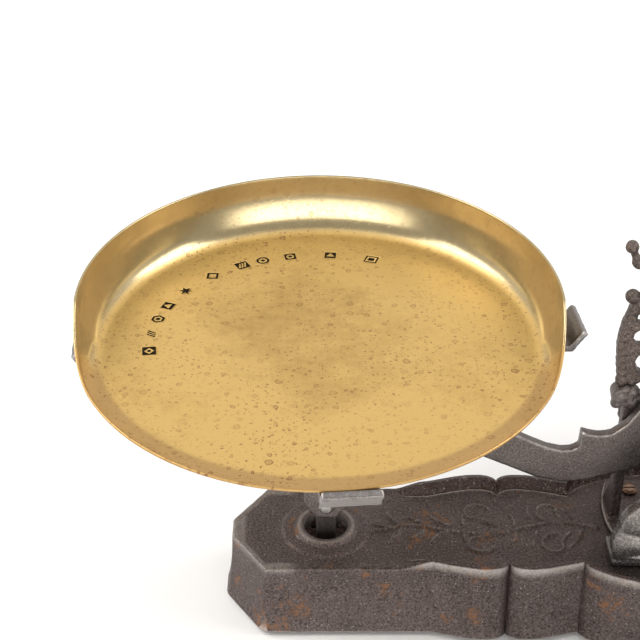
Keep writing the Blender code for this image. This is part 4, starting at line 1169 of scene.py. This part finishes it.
def capital_knobs():
    """Lumps of the pillar's capitals, where the crest stands on them."""
    return [ball_mesh(radius, (side * x, y, z)) for side in (-1, 1)
            for radius, x, y, z in ((5.4, 33.8, 8.0, 129.0), (3.8, 28.2, 6.8, 132.0),
                                    (3.4, 27.6, 6.6, 125.6), (3.2, 36.0, 6.6, 124.6),
                                    (2.6, 32.0, 5.2, 134.0))]


SHELL_RADIUS = 38.0
SHELL_Z = 60.0
CHEEK_FACE_Y = -31.0


def flute_cheek(made):
    """Raises the cheek's round face into a fluted shell with a boss."""
    co = points_of(made) / MM
    x, y, z = co.T
    away = np.hypot(x, z - SHELL_Z) / SHELL_RADIUS
    angle = np.arctan2(z - SHELL_Z, x)
    flute = np.abs(np.cos(6.0 * (angle - math.pi / 2))) ** 0.8
    dome = np.sqrt(np.clip(1.0 - away ** 2, 0.0, 1.0)) ** 0.7
    boss = smooth((0.30 - away) / 0.08)
    rise = dome * (2.2 + 2.6 * flute * smooth((away - 0.22) / 0.3)) + 1.6 * boss
    fade = smooth((CHEEK_FACE_Y + 2.2 - y) / 1.6) * smooth((z - 48.5) / 3.0)
    co[:, 1] -= rise * fade
    made.data.vertices.foreach_set("co", (co * MM).astype(np.float32).ravel())
    made.data.update()


# The pillar's foot plate narrows by PLATE_BOW on either side towards its front and back edges.
PLATE_HALF_WIDTH = 34.0
PLATE_HALF_DEPTH = 28.0
PLATE_BOW = 6.0
PLATE_Y = 10.0
CAPITAL_Z = 121.0


def make_castings():
    """The pillar, with a painted highlight along its foot plate's rim and rubbed pale on its
    capitals, the crest and the cheek.
    """
    pillar = cast_copy("pillar_casting", 0.7, 4, 0.25, 6.0, capital_knobs())
    x, y, z = points_of(pillar).T / MM
    rim = PLATE_HALF_WIDTH - PLATE_BOW * ((y - PLATE_Y) / PLATE_HALF_DEPTH) ** 2 - np.abs(x)
    # Painted highlight: the thin lit edge of the foot plate's rim is made pale through the wear.
    plate_rim_highlight = smooth((1.1 - rim) / 0.6) * smooth((z - 45.6) / 0.8) * smooth((50.0 - z) / 2.0)
    add_wear_and_highlight(pillar, np.maximum(plate_rim_highlight, 0.45 * smooth((z - CAPITAL_Z) / 3.0)))
    place(pillar, IRON, "base", "cast_iron", "pillar_casting")
    crest = cast_copy("crest_ornament", 0.55, 5, 0.5, 3.5, crest_detail())
    place(crest, BARE_IRON, "base", "cast_iron", "crest_ornament")
    cheek = cast_copy("front_cheek", 0.8, 4, 0.2, 8.0)
    flute_cheek(cheek)
    place(cheek, RUBBED_IRON, "base", "cast_iron", "front_cheek")


def make_forgings():
    """The forged pieces, each given with its body and the size of its skin's mesh in mm."""
    forged = [("beam", "beam", 0.75), ("pointer", "beam", 0.5)]
    for label, _ in SIDES:
        for node in ("yoke_plate_front", "yoke_plate_rear", "cross_hub", "cross_bar_long",
                     "cross_bar_short", "stem"):
            forged.append((f"{node}_{label}", f"carrier_{label}", 0.8))
    forged += [("stay_bar_front", "stay", 0.9), ("stay_bar_rear", "stay", 0.9)]
    for node, body, voxel in forged:
        made = cast_copy(node, voxel, 2, 0.12, 9.0)
        if node.startswith("cross_bar"):
            highlight_tab_ends(made)
        place(made, FORGED, body, "forged_steel", node)


TAB_REACH = 121.0


def highlight_tab_ends(made):
    """The bars' turned-up ends are painted brighter: a painted highlight, stored with the wear."""
    flat = points_of(made)[:, :2] / MM
    away = np.hypot(*(flat - (flat.min(0) + flat.max(0)) / 2).T)
    add_wear_and_highlight(made, 0.3 * smooth((away - TAB_REACH) / 3.0))


def dress_small_parts():
    """The nodes that keep their CAD mesh get their metals."""
    looks = {"hard_steel": GROUND, "screw_steel": TURNED}
    slots = {part["node"]: part["material_slot"] for part in frame["record"]["subparts"]}
    for name, node in frame["nodes"].items():
        if not node.hide_render:
            look = RUSTY if name.startswith("pillar_screw") else looks[slots[name]]
            node.data.materials.clear()
            node.data.materials.append(look)


make_pans()
make_base()
make_castings()
make_forgings()
dress_small_parts()
